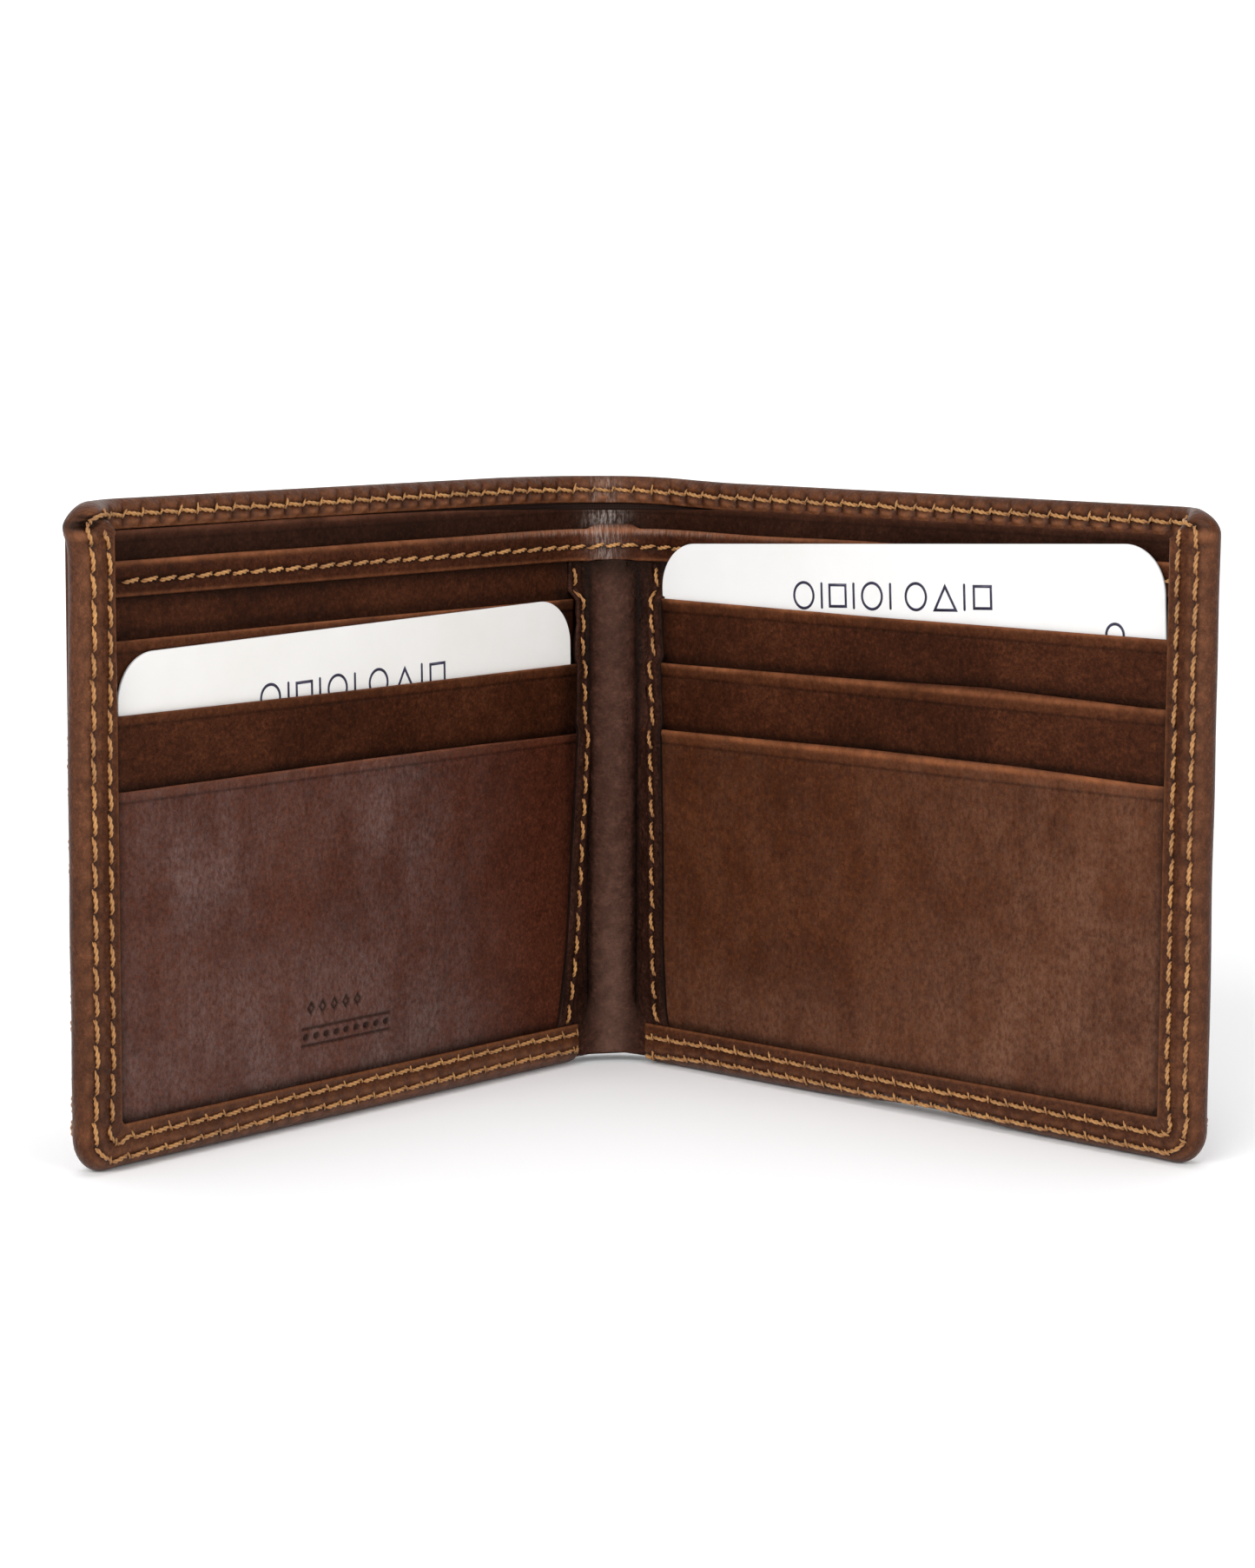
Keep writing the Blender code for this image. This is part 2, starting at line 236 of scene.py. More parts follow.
def leather(name, dark, mid, light, seed, shine, wear_and_highlight=(0.24, 0.085, 0.035), haze=(0.15, 0.088, 0.074),
            rough=(0.38, 0.58), grain=1.0, streaked=False):
    """Waxed, mottled leather. The mesh's marks place wear with painted highlights, painted shade and painted
    reflections.
    """
    mat, nt, bsdf = new_material(name)

    def times(a, b):
        return maths(nt, "MULTIPLY", a, b)

    def plus(a, b):
        return maths(nt, "ADD", a, b)

    moved = node(nt, "ShaderNodeMapping")
    put(moved, Location=(seed * 17.3, seed * 9.1, seed * 3.7))
    link(nt, mapped(nt), moved.inputs["Vector"])
    vec = moved.outputs["Vector"]
    big = noise(nt, vec, 0.045, 5.0, 0.62, 0.6)
    small = noise(nt, vec, 0.55, 6.0, 0.7)
    fine = noise(nt, vec, 1.7, 6.0, 0.8)
    colour = ramp(nt, plus(times(big, 0.5), times(small, 0.5)), [(0.36, dark), (0.5, mid), (0.66, light)])
    colour = mix(nt, remap(nt, fine, 0.40, 0.62, 0.0, 0.75), colour, tuple(0.55 * c for c in dark))
    colour = mix(nt, remap(nt, fine, 0.44, 0.32, 0.0, 0.45), colour, tuple(1.25 * c for c in light))
    # painted reflection, in pale clouds on the panels and in upright glints where the leather is creased
    stretch, spread = ((1.3, 0.25, 1.0), (0.46, 0.57, 0.08)) if streaked else ((1.0, 0.55, 1.0), (0.40, 0.60, 0.25))
    speckle = noise(nt, mapped(nt, stretch), 1.5, 6.0, 0.8)
    cloud = noise(nt, mapped(nt, (1.0, 0.5, 1.0)), 0.16, 5.0, 0.65)
    amount = times(remap(nt, cloud, 0.36, 0.62, 0.35, 1.0), remap(nt, speckle, *spread, 1.0))
    colour = mix(nt, times(amount, attribute(nt, "haze")), colour, haze)
    # lighter where the edge mark is set: wear, and painted highlights on folds, crests and bumps
    edge = times(attribute(nt, "edge"), remap(nt, small, 0.3, 0.65, 0.45, 1.0))
    colour = mix(nt, maths(nt, "MINIMUM", edge, 1.0), colour, wear_and_highlight)
    shade = remap(nt, attribute(nt, "dark"), 0.0, 1.0, 1.0, 0.16)
    grey = node(nt, "ShaderNodeCombineColor")
    for channel in grey.inputs:
        link(nt, shade, channel)
    colour = mix(nt, 1.0, colour, grey.outputs[0], "MULTIPLY")
    link(nt, colour, bsdf.inputs["Base Color"])

    # grain of small warped cells with pores
    cells = node(nt, "ShaderNodeTexVoronoi", feature="SMOOTH_F1")
    put(cells, Scale=1.4, Smoothness=0.35, Randomness=1.0)
    warp = node(nt, "ShaderNodeVectorMath", operation="ADD")
    wob = node(nt, "ShaderNodeTexNoise")
    put(wob, Scale=1.4)
    link(nt, vec, wob.inputs["Vector"])
    link(nt, vec, warp.inputs[0])
    link(nt, wob.outputs["Color"], warp.inputs[1])
    link(nt, warp.outputs[0], cells.inputs["Vector"])
    pores = noise(nt, vec, 4.5, 3.0, 0.75)
    soft = noise(nt, vec, 0.3, 4.0, 0.6)
    height = plus(plus(times(cells.outputs["Distance"], 0.55), times(pores, 0.5)), times(soft, 1.3))
    bump(nt, bsdf, height, 0.5 * grain, 0.0003)
    gloss = plus(times(big, 0.6), times(fine, 0.4))
    link(nt, remap(nt, gloss, 0.35, 0.65, *rough), bsdf.inputs["Roughness"])
    put(bsdf, Specular_IOR_Level=0.7 * shine, Specular_Tint=(1.0, 0.80, 0.68, 1.0))
    return mat


def thread_material():
    mat, nt, bsdf = new_material("waxed_thread")
    vec = mapped(nt, source="Object")
    fibres = noise(nt, vec, 900.0, 3.0, 0.6)
    tone = noise(nt, vec, 160.0, 4.0, 0.6)
    colour = ramp(nt, tone, [(0.3, (0.17, 0.062, 0.013)), (0.5, (0.31, 0.125, 0.029)), (0.68, (0.46, 0.215, 0.060))])
    colour = mix(nt, remap(nt, fibres, 0.35, 0.65, 0.0, 0.5), colour, (0.16, 0.062, 0.016))
    # painted highlight along the top of the plies, set by the edge mark
    colour = mix(nt, maths(nt, "MULTIPLY", attribute(nt, "edge"), 0.8), colour, (0.62, 0.35, 0.12))
    link(nt, colour, bsdf.inputs["Base Color"])
    bump(nt, bsdf, fibres, 0.4, 0.0001)
    put(bsdf, Roughness=0.55, Sheen_Weight=0.12, Sheen_Roughness=0.4)
    return mat


def card_material(name, tone):
    mat, nt, bsdf = new_material(name)
    vec = mapped(nt)
    smudge = noise(nt, vec, 0.05, 5.0, 0.6)
    speck = noise(nt, vec, 2.5, 2.0, 0.5)
    warm = (tone[0] * 0.965, tone[1] * 0.96, tone[2] * 0.94)
    colour = ramp(nt, smudge, [(0.35, warm), (0.65, tone)])
    colour = mix(nt, remap(nt, speck, 0.72, 0.8, 0.0, 0.25), colour, (0.62, 0.6, 0.57))
    colour = mix(nt, attribute(nt, "edge"), colour, (0.55, 0.55, 0.56))
    link(nt, colour, bsdf.inputs["Base Color"])
    bump(nt, bsdf, noise(nt, vec, 1.8, 3.0, 0.5), 0.08, 0.00005)
    link(nt, remap(nt, smudge, 0.3, 0.7, 0.3, 0.42), bsdf.inputs["Roughness"])
    return mat


def ink_material():
    mat, nt, bsdf = new_material("printed_ink")
    cloudy = noise(nt, mapped(nt, source="Object"), 700.0, 3.0, 0.6)
    link(nt, ramp(nt, cloudy, [(0.3, (0.010, 0.009, 0.026)), (0.7, (0.028, 0.024, 0.06))]), bsdf.inputs["Base Color"])
    put(bsdf, Roughness=0.4)
    return mat


def woven(name, low, high):
    """Plain woven lining; high is the threads' colour and low the painted shade between them."""
    mat, nt, bsdf = new_material(name)
    vec = mapped(nt)
    waves = []
    for direction in "XY":
        n = node(nt, "ShaderNodeTexWave", bands_direction=direction, wave_profile="SIN")
        put(n, Scale=0.75, Distortion=0.4, Detail=1.0)
        link(nt, vec, n.inputs["Vector"])
        waves.append(n.outputs["Fac"])
    height = maths(nt, "MAXIMUM", *waves)
    link(nt, ramp(nt, height, [(0.2, low), (0.9, high)]), bsdf.inputs["Base Color"])
    bump(nt, bsdf, height, 0.5, 0.0001)
    put(bsdf, Roughness=0.85, Specular_IOR_Level=0.08)
    return mat


COVER = leather("cover_leather", (0.038, 0.0105, 0.0042), (0.068, 0.021, 0.008), (0.105, 0.035, 0.014), seed=1,
                shine=0.26, rough=(0.32, 0.50))
BORDER = leather("border_leather", (0.036, 0.0100, 0.0038), (0.074, 0.0222, 0.0085), (0.124, 0.042, 0.0165),
                 wear_and_highlight=(0.23, 0.086, 0.035), haze=(0.42, 0.32, 0.27), seed=2, shine=0.26, rough=(0.28, 0.46),
                 streaked=True)
INSIDE = leather("pocket_leather", (0.025, 0.0066, 0.0027), (0.055, 0.0148, 0.0055), (0.092, 0.028, 0.0112),
                 wear_and_highlight=(0.25, 0.088, 0.036), haze=(0.46, 0.38, 0.34), seed=3, shine=0.13, streaked=True)
PANEL_L = leather("left_panel_leather", (0.036, 0.0095, 0.0046), (0.072, 0.0174, 0.008), (0.106, 0.029, 0.0135),
                  wear_and_highlight=(0.24, 0.082, 0.04), haze=(0.158, 0.098, 0.086), seed=4, shine=0.16)
PANEL_R = leather("right_panel_leather", (0.034, 0.0088, 0.0030), (0.066, 0.0170, 0.0052), (0.110, 0.032, 0.0105),
                  wear_and_highlight=(0.26, 0.09, 0.036), haze=(0.165, 0.075, 0.045), seed=5, shine=0.15)
STRIP = leather("strip_leather", (0.018, 0.0060, 0.0036), (0.041, 0.0138, 0.0082), (0.080, 0.031, 0.020),
                wear_and_highlight=(0.17, 0.088, 0.064), haze=(0.36, 0.28, 0.25), grain=2.2, seed=6, shine=0.14)
DEEP = leather("divider_leather", (0.015, 0.0048, 0.0026), (0.026, 0.0086, 0.0046), (0.042, 0.015, 0.008),
               wear_and_highlight=(0.12, 0.045, 0.025), haze=(0.50, 0.42, 0.38), seed=8, shine=0.08,
               streaked=True)
THREAD = thread_material()
LINING = woven("lining_cloth", (0.009, 0.004, 0.003), (0.022, 0.011, 0.008))
CARD_L = card_material("left_card_plastic", (0.80, 0.79, 0.775))
CARD_R = card_material("right_card_plastic", (0.80, 0.80, 0.80))
INK = ink_material()


# ---------------- mesh helpers
def make_object(name, verts, faces, mat, uv=None, flat_faces=0, **marks):
    """verts in mm; uv holds one pair for each face corner; marks may be edge, dark and the painted sheen; on leather
    these place wear with painted highlight, painted shade and painted reflection.
    """
    mesh = bpy.data.meshes.new(name)
    mesh.from_pydata((np.asarray(verts) * MM).tolist(), [], faces)
    if uv is not None:
        mesh.uv_layers.new(name="UVMap").data.foreach_set("uv", np.asarray(uv, np.float32).ravel())
    for label in ("edge", "dark", "haze"):
        data = np.ravel(marks.get(label, np.zeros(len(verts))))
        mesh.attributes.new(label, "FLOAT", "POINT").data.foreach_set("value", np.clip(data, 0, 1).astype(np.float32))
    body = bmesh.new()
    body.from_mesh(mesh)
    bmesh.ops.recalc_face_normals(body, faces=body.faces)
    body.to_mesh(mesh)
    body.free()
    count = len(mesh.polygons)
    mesh.polygons.foreach_set("use_smooth", np.arange(count) < count - flat_faces)
    mesh.materials.append(mat)
    return add_to_scene(name, mesh)


def bridge(one, two, k):
    """Quads between two rings of k points that start at one and two."""
    return [(one + j, one + (j + 1) % k, two + (j + 1) % k, two + j) for j in range(k)]


def loft(name, points, us, vs, mat, **marks):
    """points (N, K, 3): N stations of a closed K-point section. us (N,), vs (N, K+1) in mm."""
    n, k, _ = points.shape
    faces, uv = [], []
    for i in range(n - 1):
        for j in range(k):
            j2 = (j + 1) % k
            faces.append((i * k + j, (i + 1) * k + j, (i + 1) * k + j2, i * k + j2))
            uv += [(us[i], vs[i][j]), (us[i + 1], vs[i + 1][j]), (us[i + 1], vs[i + 1][j + 1]), (us[i], vs[i][j + 1])]
    for i, order in ((0, 1), (n - 1, -1)):
        ring = list(range(i * k, i * k + k))[::order]
        faces.append(tuple(ring))
        uv += [(us[i], vs[i][r - i * k]) for r in ring]
    return make_object(name, points.reshape(-1, 3), faces, mat, uv, 2, **marks)


def spaced(a, b, step):
    return np.linspace(a, b, max(2, int(round(abs(b - a) / step)) + 1))


ROUND = np.radians(np.linspace(75, -75, 7))      # steps round a layer's top edge


def section_rows(v0, v1, t, dv, fine, front=None):
    """A layer's closed section as (v, depth 0..t, front mask); its top edge is round."""
    r = t / 2
    top = v1 - r
    if front is None:
        split = max(v0, top - 3.2)
        low = list(spaced(v0, split, dv)) if split > v0 else [v0]
        front = np.array(low + list(spaced(split, top, fine))[1:])
    back = spaced(top, v0, 4.0)
    v = np.concatenate([front, top + r * np.cos(ROUND), back])
    depth = np.concatenate([np.full(len(front), t), r + r * np.sin(ROUND), np.zeros(len(back))])
    mask = np.concatenate([np.ones(len(front)), 0.5 + 0.5 * np.sin(ROUND), np.zeros(len(back))])
    return v, depth, mask


def ring_lengths(a, b):
    """Running length round a closed line, from 0 back to its start."""
    return np.concatenate([[0.0], np.cumsum(np.hypot(np.diff(np.append(a, a[0])), np.diff(np.append(b, b[0]))))])


def layer(name, mat, s, section, m0, relief, bend=True, side=1, v_shift=None, squeeze="inner", **marks):
    """A layer lofted along s (bend) or u (flat, one side). relief, v_shift and the marks are functions."""
    v, depth, mask = section
    S = np.asarray(s)[:, None]
    V = np.broadcast_to(v[None, :], (len(s), len(v))).copy()
    if v_shift is not None:
        V = V + v_shift(S, V)
    M = m0 + np.broadcast_to(depth[None, :], V.shape) + relief(S, V, mask[None, :])
    pts = place(S, V, M, squeeze) if bend else flat_place(side, np.broadcast_to(S, V.shape), V, M, squeeze)
    vs = np.broadcast_to(ring_lengths(v, depth), (len(s), len(v) + 1))
    values = {label: fn(S, V, mask[None, :]) * np.ones_like(V) for label, fn in marks.items()}
    return loft(name, pts, np.asarray(s), vs, mat, **values)


def bend_sheet(obj):
    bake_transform(obj)


HALF_BODY = {-1: "left_half", 1: "right_half"}
HALF_NAME = {-1: "left_", 1: "right_"}


# ---------------- border that turns over the layers
def side_level(v):
    """Depth of the side border's front."""
    return np.interp(v, [0, 60, 75, 85, 90], [6.4, 6.4, 6.3, 6.25, 6.2])


def top_level(u, side):
    """Depth of the hem's front, which rises to the side border at the corner."""
    return 1.95 + 4.25 * smooth(u, 98.0 if side < 0 else 103.0, 108.5)


def half_outline(side):
    """Stations of one half from the spine's foot to the middle of the top edge."""
    r_out, r_top, r_in = 5.0, 3.5, 0.7 if side < 0 else 0.3
    step = PITCH / 10
    wide = RIGHT_WIDER if side > 0 else 0.0
    tall = -0.5 if side > 0 else 0.3
    # heights of the two bottom rows as they wander along the border
    if side < 0:
        low_row = ([7, 20, 50, 70, 90, 105], [2.3, 2.6, 2.4, 2.5, 2.1, 1.8])
        high_row = ([7, 20, 50, 70, 80, 100], [4.8, 5.1, 5.0, 4.9, 4.7, 4.5])
    else:
        low_row = ([7, 12, 20, 50, 100], [1.2, 1.6, 2.2, 2.0, 1.8])
        high_row = ([7, 20, 50, 80, 100], [4.2, 4.5, 4.3, 4.3, 4.1])
    rows = []
    start = (7.1 if side < 0 else 6.7) + S_OF_U
    end = HALF + S_OF_U
    inner = SIDE_U + S_OF_U

    def add(outer, inner_point, level, w1, w2):
        rows.append((*outer, *inner_point, level, w1, w2))

    for s in spaced(start, end - r_out, step):
        u = s - S_OF_U
        foot = 0.9 * gauss(u - 61.0, 13.0) if side > 0 else 0.0
        add((s, foot), (min(s, inner - r_in), BOTTOM_V), 6.4,
            np.interp(u, *low_row) - foot, np.interp(u, *high_row) - foot)
    for a in np.linspace(0, math.pi / 2, 19)[1:-1]:
        o = (end - r_out + r_out * math.sin(a), r_out - r_out * math.cos(a))
        i = (inner - r_in + r_in * math.sin(a), BOTTOM_V + r_in - r_in * math.cos(a))
        add(o, i, 6.4, 1.7, 4.3)
    for v in spaced(r_out, HEIGHT - r_top, step):
        vi = min(max(v, BOTTOM_V + r_in), HEM_V - r_in)
        low = 1 - smooth(v, 6.0, 16.0)
        add((end, v), (inner, vi), float(side_level(v)), 1.95 - 0.4 * low, 4.9 - 0.45 * low)
    for a in np.linspace(0, math.pi / 2, 23)[1:-1]:
        o = (end - r_out + r_out * math.cos(a), HEIGHT - r_top + r_top * math.sin(a))
        i = (inner - r_in + r_in * math.cos(a), HEM_V - r_in + r_in * math.sin(a))
        add(o, i, float(top_level(o[0] - S_OF_U, side)), 2.0, NO_ROW)
    for s in spaced(end - r_out, 0.0, step):
        add((s, HEIGHT), (min(s, inner - r_in), HEM_V), float(top_level(s - S_OF_U, side)), 2.15, NO_ROW)
    rows = np.array(rows)
    for k in (0, 2):
        rows[:, k + 1] += tall * smooth(rows[:, k + 1], 50.0, 88.0) * smooth(rows[:, k], 0.0, 25.0)
        rows[:, k] += wide * smooth(rows[:, k], 25.0, 104.0)
    if side < 0:
        at_end = smooth(rows[:, 0], end - 6.0, end - 1.0)
        rows[:, 0] += at_end * (0.4 * gauss(rows[:, 1] - 87.2, 1.5)
                                - 0.5 * smooth(rows[:, 1], 55.0, 76.0) * (1 - smooth(rows[:, 1], 83.0, 86.5)))
    return rows


# the left half runs from its foot to the top, then the right half runs back down
RIGHT = half_outline(1)
LEFT = half_outline(-1)
LEFT[:, (0, 2)] *= -1
RIM = np.concatenate([LEFT, RIGHT[::-1][1:]])


def border_section(level, width):
    """Closed section of the turned edge as (w, m, front, back) rows."""
    rx = 1.2 + 0.22 * level
    out = [(f * width, m, 0.0, 1.0) for f, m in ((0.96, 0.075), (0.8, 0.02), (0.62, 0.0), (0.5, 0.0))]
    out.append((rx + 0.3 if 0.5 * width > rx + 0.5 else 0.47 * width, 0.0, 0.0, 1.0))
    for a in np.radians(np.linspace(-80, 80, 15)):
        out.append((rx - rx * math.cos(a), level / 2 + level / 2 * math.sin(a),
                    max(0.0, math.sin(a)), max(0.0, -math.sin(a))))
    out += [(w, level, 1.0, 0.0) for w in np.linspace(rx, width - 0.25, 16)]
    out.append((width - 0.07, level - 0.1, 0.6, 0.0))
    inside = ((width, level - 0.3), (width - 0.08, level - 0.52), (width - 0.9, level - 0.6),
              (rx + 0.3, level - 0.62), (1.25, level / 2), (rx + 0.3, 0.55), (0.96 * width, 0.55))
    return np.array(out + [(w, m, 0.0, 0.0) for w, m in inside])


def row_track(which):
    """Row points (s, v), running length and depth along the rim for stitch row 1 or 2."""
    w = RIM[:, 4 + which]
    width = np.hypot(RIM[:, 2] - RIM[:, 0], RIM[:, 3] - RIM[:, 1])
    straight = np.where(np.abs(RIM[:, 0] - RIM[:, 2]) < 1e-6, np.abs(RIM[:, 3] - RIM[:, 1]), width)
    f = np.clip(w / np.maximum(straight, 1e-6), 0, 2)
    pts = RIM[:, 0:2] + (RIM[:, 2:4] - RIM[:, 0:2]) * f[:, None]
    if which == 2:
        # the inner row runs straight up under the hem
        for side in (-1, 1):
            end = HALF + S_OF_U + (RIGHT_WIDER if side > 0 else 0.0)
            rise = (RIM[:, 6] == NO_ROW) & (side * RIM[:, 0] > end - 5.01)
            pts[rise, 0] = side * (end - 4.9)
            pts[rise, 1] = 86.3 + 2.0 * (end - side * RIM[rise, 0]) / 5.0
    run = np.concatenate([[0.0], np.cumsum(np.hypot(*np.diff(pts, axis=0).T))])
    return pts, run


def rim_place(s, v, m):
    """The rim's lower parts are flat right up to their ends at the spine."""
    side = np.where(s < 0, -1.0, 1.0)
    u = np.abs(s) - S_OF_U
    n = squeezed(u, m) + OUTER_N
    low = np.stack([side * (u * COS - n * SIN), AXIS_Y - u * SIN - n * COS, v + 0 * s], axis=-1)
    high = place(s, v, m)
    return np.where((v < 60.0)[..., None], low, high)


TRACK1, RUN1 = row_track(1)
TRACK2, RUN2 = row_track(2)
# keep a hole exactly at the middle of the top edge
MIDDLE = len(LEFT) - 1
PHASE1 = (RUN1 - RUN1[MIDDLE]) / PITCH
PHASE2 = RUN2 / PITCH


def build_rim():
    """One turned and sewn edge for both halves and the spine."""
    pts, vs, edge, dark, haze = [], [], [], [], []
    for i, (so, vo, si, vi, level, w1, w2) in enumerate(RIM):
        width = math.hypot(si - so, vi - vo)
        w, m, front, back = border_section(level, width).T
        f = w / width
        s = so + (si - so) * f
        v = vo + (vi - vo) * f
        two_rows = w2 < NO_ROW
        top = not two_rows and abs(si) <= SIDE_U + S_OF_U - 1.0
        hole1 = math.cos(math.pi * PHASE1[i]) ** 2
        hole2 = math.cos(math.pi * PHASE2[i]) ** 2
        dip = -0.26 * gauss(w - w1, 0.36) * (0.45 + 0.55 * hole1)
        dip += 0.10 * gauss(w - w1 + 1.0, 0.5) * (1 - hole1) + 0.08 * gauss(w - w1 - 1.0, 0.5) * (1 - hole1)
        if two_rows:
            dip += -0.26 * gauss(w - w2, 0.36) * (0.45 + 0.55 * hole2)
            dip += 0.14 * gauss(w - (w1 + w2) / 2, 0.7) * (0.6 + 0.4 * (1 - hole2))
            dip += 0.08 * gauss(w - w2 - 0.9, 0.45) * (1 - hole2)
        pinch = 0.0
        if top:
            near = abs((PHASE1[i] + 0.5) % 1.0 - 0.5) * PITCH
            pinch = math.exp(-(near / 0.42) ** 2)
            wild = 1 + 0.5 * float(wobble(so, 0.0, 12, 6.0))
            dip += 0.30 * gauss(w - w1 - 1.15, 0.5) * (1 - hole1) ** 2 * wild
            dip += 0.10 * gauss(w - w1 + 1.1, 0.6) * (1 - hole1)
            dip += -0.24 * pinch * (gauss(w - w1 - 0.9, 0.8) + 0.8 * gauss(w - w1 + 0.8, 0.6)) * wild
            dip += 0.12 * math.exp(-((near - 0.75) / 0.35) ** 2) * gauss(w - w1, 1.2)
        pleat = 0.0 * w
        if vo > HEIGHT - 6.5 and abs(so) > HALF + S_OF_U - 7.5:
            # the hem is folded over the side border, which leaves a pit and two small creases
            end_w = smooth(w, -0.2, 0.5) * (1 - smooth(w, 2.4, 3.6))
            deep = 1.5 if so < 0 else 0.4
            pleat = -deep * gauss(v - 87.3, 0.6) * end_w
            pleat = pleat - 0.4 * deep * gauss(v - 88.5 + 0.12 * w, 0.25) * end_w + 0.35 * gauss(v - 86.0, 0.7) * end_w
            pleat = pleat - 0.25 * gauss(v - 84.8, 0.3) * end_w
        m = m + front * (dip + pleat) + back * 0.45 * -dip
        wav = wobble(so, vo, 11, 24.0)
        s = s + 0.10 * wav * (1 - np.clip(f, 0, 1)) * np.sign(so)
        pts.append(rim_place(s, v, m))
        vs.append(ring_lengths(w, m))
        # lighter along the rounded outer edge and the inner edge: wear and painted highlight
        e = 0.12 * gauss(w - 0.5, 0.9) * (front + 0.15) + 0.7 * front * gauss(w - width, 0.35)
        if so < 0 and vo < 1.0:
            e = e + 0.16 * front
        # painted highlights on the bumps between the holes, stronger below the hem's row
        e = e + 0.35 * front * (1 - hole1) * (gauss(w - w1 - 1.0, 0.4) + gauss(w - w1 + 0.9, 0.4))
        if top:
            e = e + 0.4 * front * (1 - hole1) * gauss(w - w1 - 1.1, 0.45)
        # painted shade in the row grooves and holes, in the pinches and in the pleat's pit
        d = 0.6 * gauss(w - w1, 0.3) * front * hole1 ** 2 + 0.25 * gauss(w - w1, 0.5) * front
        if two_rows:
            d = d + 0.6 * gauss(w - w2, 0.3) * front * hole2 ** 2 + 0.25 * gauss(w - w2, 0.5) * front
        if top:
            d = d + 0.5 * pinch * front * (gauss(w - w1 - 0.8, 0.7) + 0.7 * gauss(w - w1 + 0.8, 0.5))
        d = d + 0.95 * np.clip(-pleat * 1.6, 0, 1)
        # painted glints, in upright streaks on the hem over the spine
        painted_glint = 0.75 * front * float(gauss(so + 1.2, 3.0)) * (0.5 + 0.5 * wobble(so * 3.0, w, 13, 2.0))
        haze.append(painted_glint if top else 0 * w)
        # painted highlight on the ridge beside the pleat
        e = e + 1.6 * np.clip(pleat, 0, 1)
        # painted shade on the faces hidden inside the fold
        d = d + 0.9 * (front + back < 0.01) * (w > 1.0)
        edge.append(e)
        dark.append(np.clip(d, 0, 1))
    obj = loft("turned_edge", np.array(pts), RUN1, vs, BORDER, edge=edge, dark=dark, haze=haze)
    bend_sheet(obj)
    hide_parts("left_side_border", "right_side_border", "left_bottom_border", "right_bottom_border",
                "left_top_hem", "right_top_hem", "spine_top_hem")


build_rim()

# ---------------- cover, outside
S_END = HALF + S_OF_U


def stations(s_end, step_flat, step_bend):
    """Signed s values, finer through the spine."""
    near = spaced(0, 16, step_bend)
    far = spaced(16, s_end, step_flat)
    half = np.concatenate([near, far[1:]])
    return np.concatenate([-half[::-1], half[1:]])


def build_cover():
    s = stations(S_END - 1.5, 1.2, 0.7)
    outer = spaced(1.5, HEIGHT - 1.2, 1.2)
    v = np.concatenate([outer, spaced(HEIGHT - 1.2, 1.5, 8.0)])
    mask = np.where(np.arange(len(v)) < len(outer), 1.0, 0.0)
    depth = np.where(mask > 0, 0.05, 1.0)

    def relief(S, V, mask):
        swell = 0.10 * wobble(S, V, 21, 38.0) * gauss(np.abs(S) - 55, 50)
        line = 0.22 * gauss(np.abs(S) - 6.0, 0.8) + 0.12 * gauss(S + 1.5, 0.6) + 0.10 * gauss(S - 2.6, 0.7)
        line = line * (0.6 + 0.4 * wobble(S, V, 22, 14.0))
        return mask * (swell * smooth(V, 8, 20) * (1 - smooth(V, 70, 82)) + line)

    def shift(S, V):
        edge = np.clip((np.abs(S) - (S_END - 5.0)) / 3.5, 0, 1)
        cut = 3.5 * (1 - np.sqrt(np.clip(1 - edge ** 2, 0, 1)))
        return cut * (1 - 2 * (V - 1.5) / (HEIGHT - 2.7))

    # painted shade in the creases over the spine
    def dark(S, V, mask):
        return 0.3 * mask * (gauss(np.abs(S) - 6.0, 0.9) + 0.6 * gauss(S + 1.5, 0.7) + 0.6 * gauss(S - 2.6, 0.7))

    def edge(S, V, mask):
        return 0.14 * mask * gauss(np.abs(S) - 4.2, 1.6)

    obj = layer("cover_leather_panel", COVER, s, (v, depth, mask), 0.0, relief, v_shift=shift, squeeze="outer",
                edge=edge, dark=dark)
    bend_sheet(obj)
    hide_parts("left_cover", "right_cover", "spine_cover")


build_cover()


# ---------------- note compartment
def build_lining():
    s = stations(LAYER_U + S_OF_U, 3.0, 0.9)
    obj = layer("cover_lining_cloth", LINING, s, section_rows(2.0, HEM_V + 1.0, 0.2, dv=3.0, fine=1.0), LINING_M,
                relief=lambda S, V, k: 0.02 * wobble(S, V, 31, 16.0), squeeze="outer")
    bend_sheet(obj)
    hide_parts("left_cover_lining", "right_cover_lining", "spine_cover_lining")


def rolled_edge(v1, line=2.1):
    """Wear and painted highlight for a folded top edge, and painted shade in a pressed line under it."""
    def edge(S, V, mask):
        fold = gauss(V - v1 + 0.15, 0.5) * (0.75 + 0.35 * wobble(S, V, 41, 17.0))
        return fold + 0.12 * gauss(V - v1 + 1.2, 0.7)

    def dark(S, V, mask):
        return 0.5 * mask * gauss(V - v1 + line, 0.22)

    return edge, dark


def build_divider():
    s = stations(LAYER_U + S_OF_U, 2.0, 0.7)
    top = 86.1
    edge, dark = rolled_edge(top, 1.6)

    def sag(S, V):
        return (0.15 * wobble(S, 0 * V, 33, 60.0) - 1.35 * gauss(np.abs(S), 26.0)) * smooth(V, 60, top)

    # painted glints near the spine, as sheen on the divider's top
    obj = layer("note_divider_leather", DEEP, s, section_rows(2.0, top, 0.38, dv=3.0, fine=0.2), DIVIDER_M,
                relief=lambda S, V, k: 0.06 * gauss(V - top + 0.4, 0.5) * k, edge=edge, dark=dark, v_shift=sag,
                squeeze="outer", haze=lambda S, V, k: 0.6 * k * gauss(S + 1.2, 3.0) * smooth(V, 80, 84))
    bend_sheet(obj)
    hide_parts("left_note_divider", "right_note_divider", "spine_note_divider")


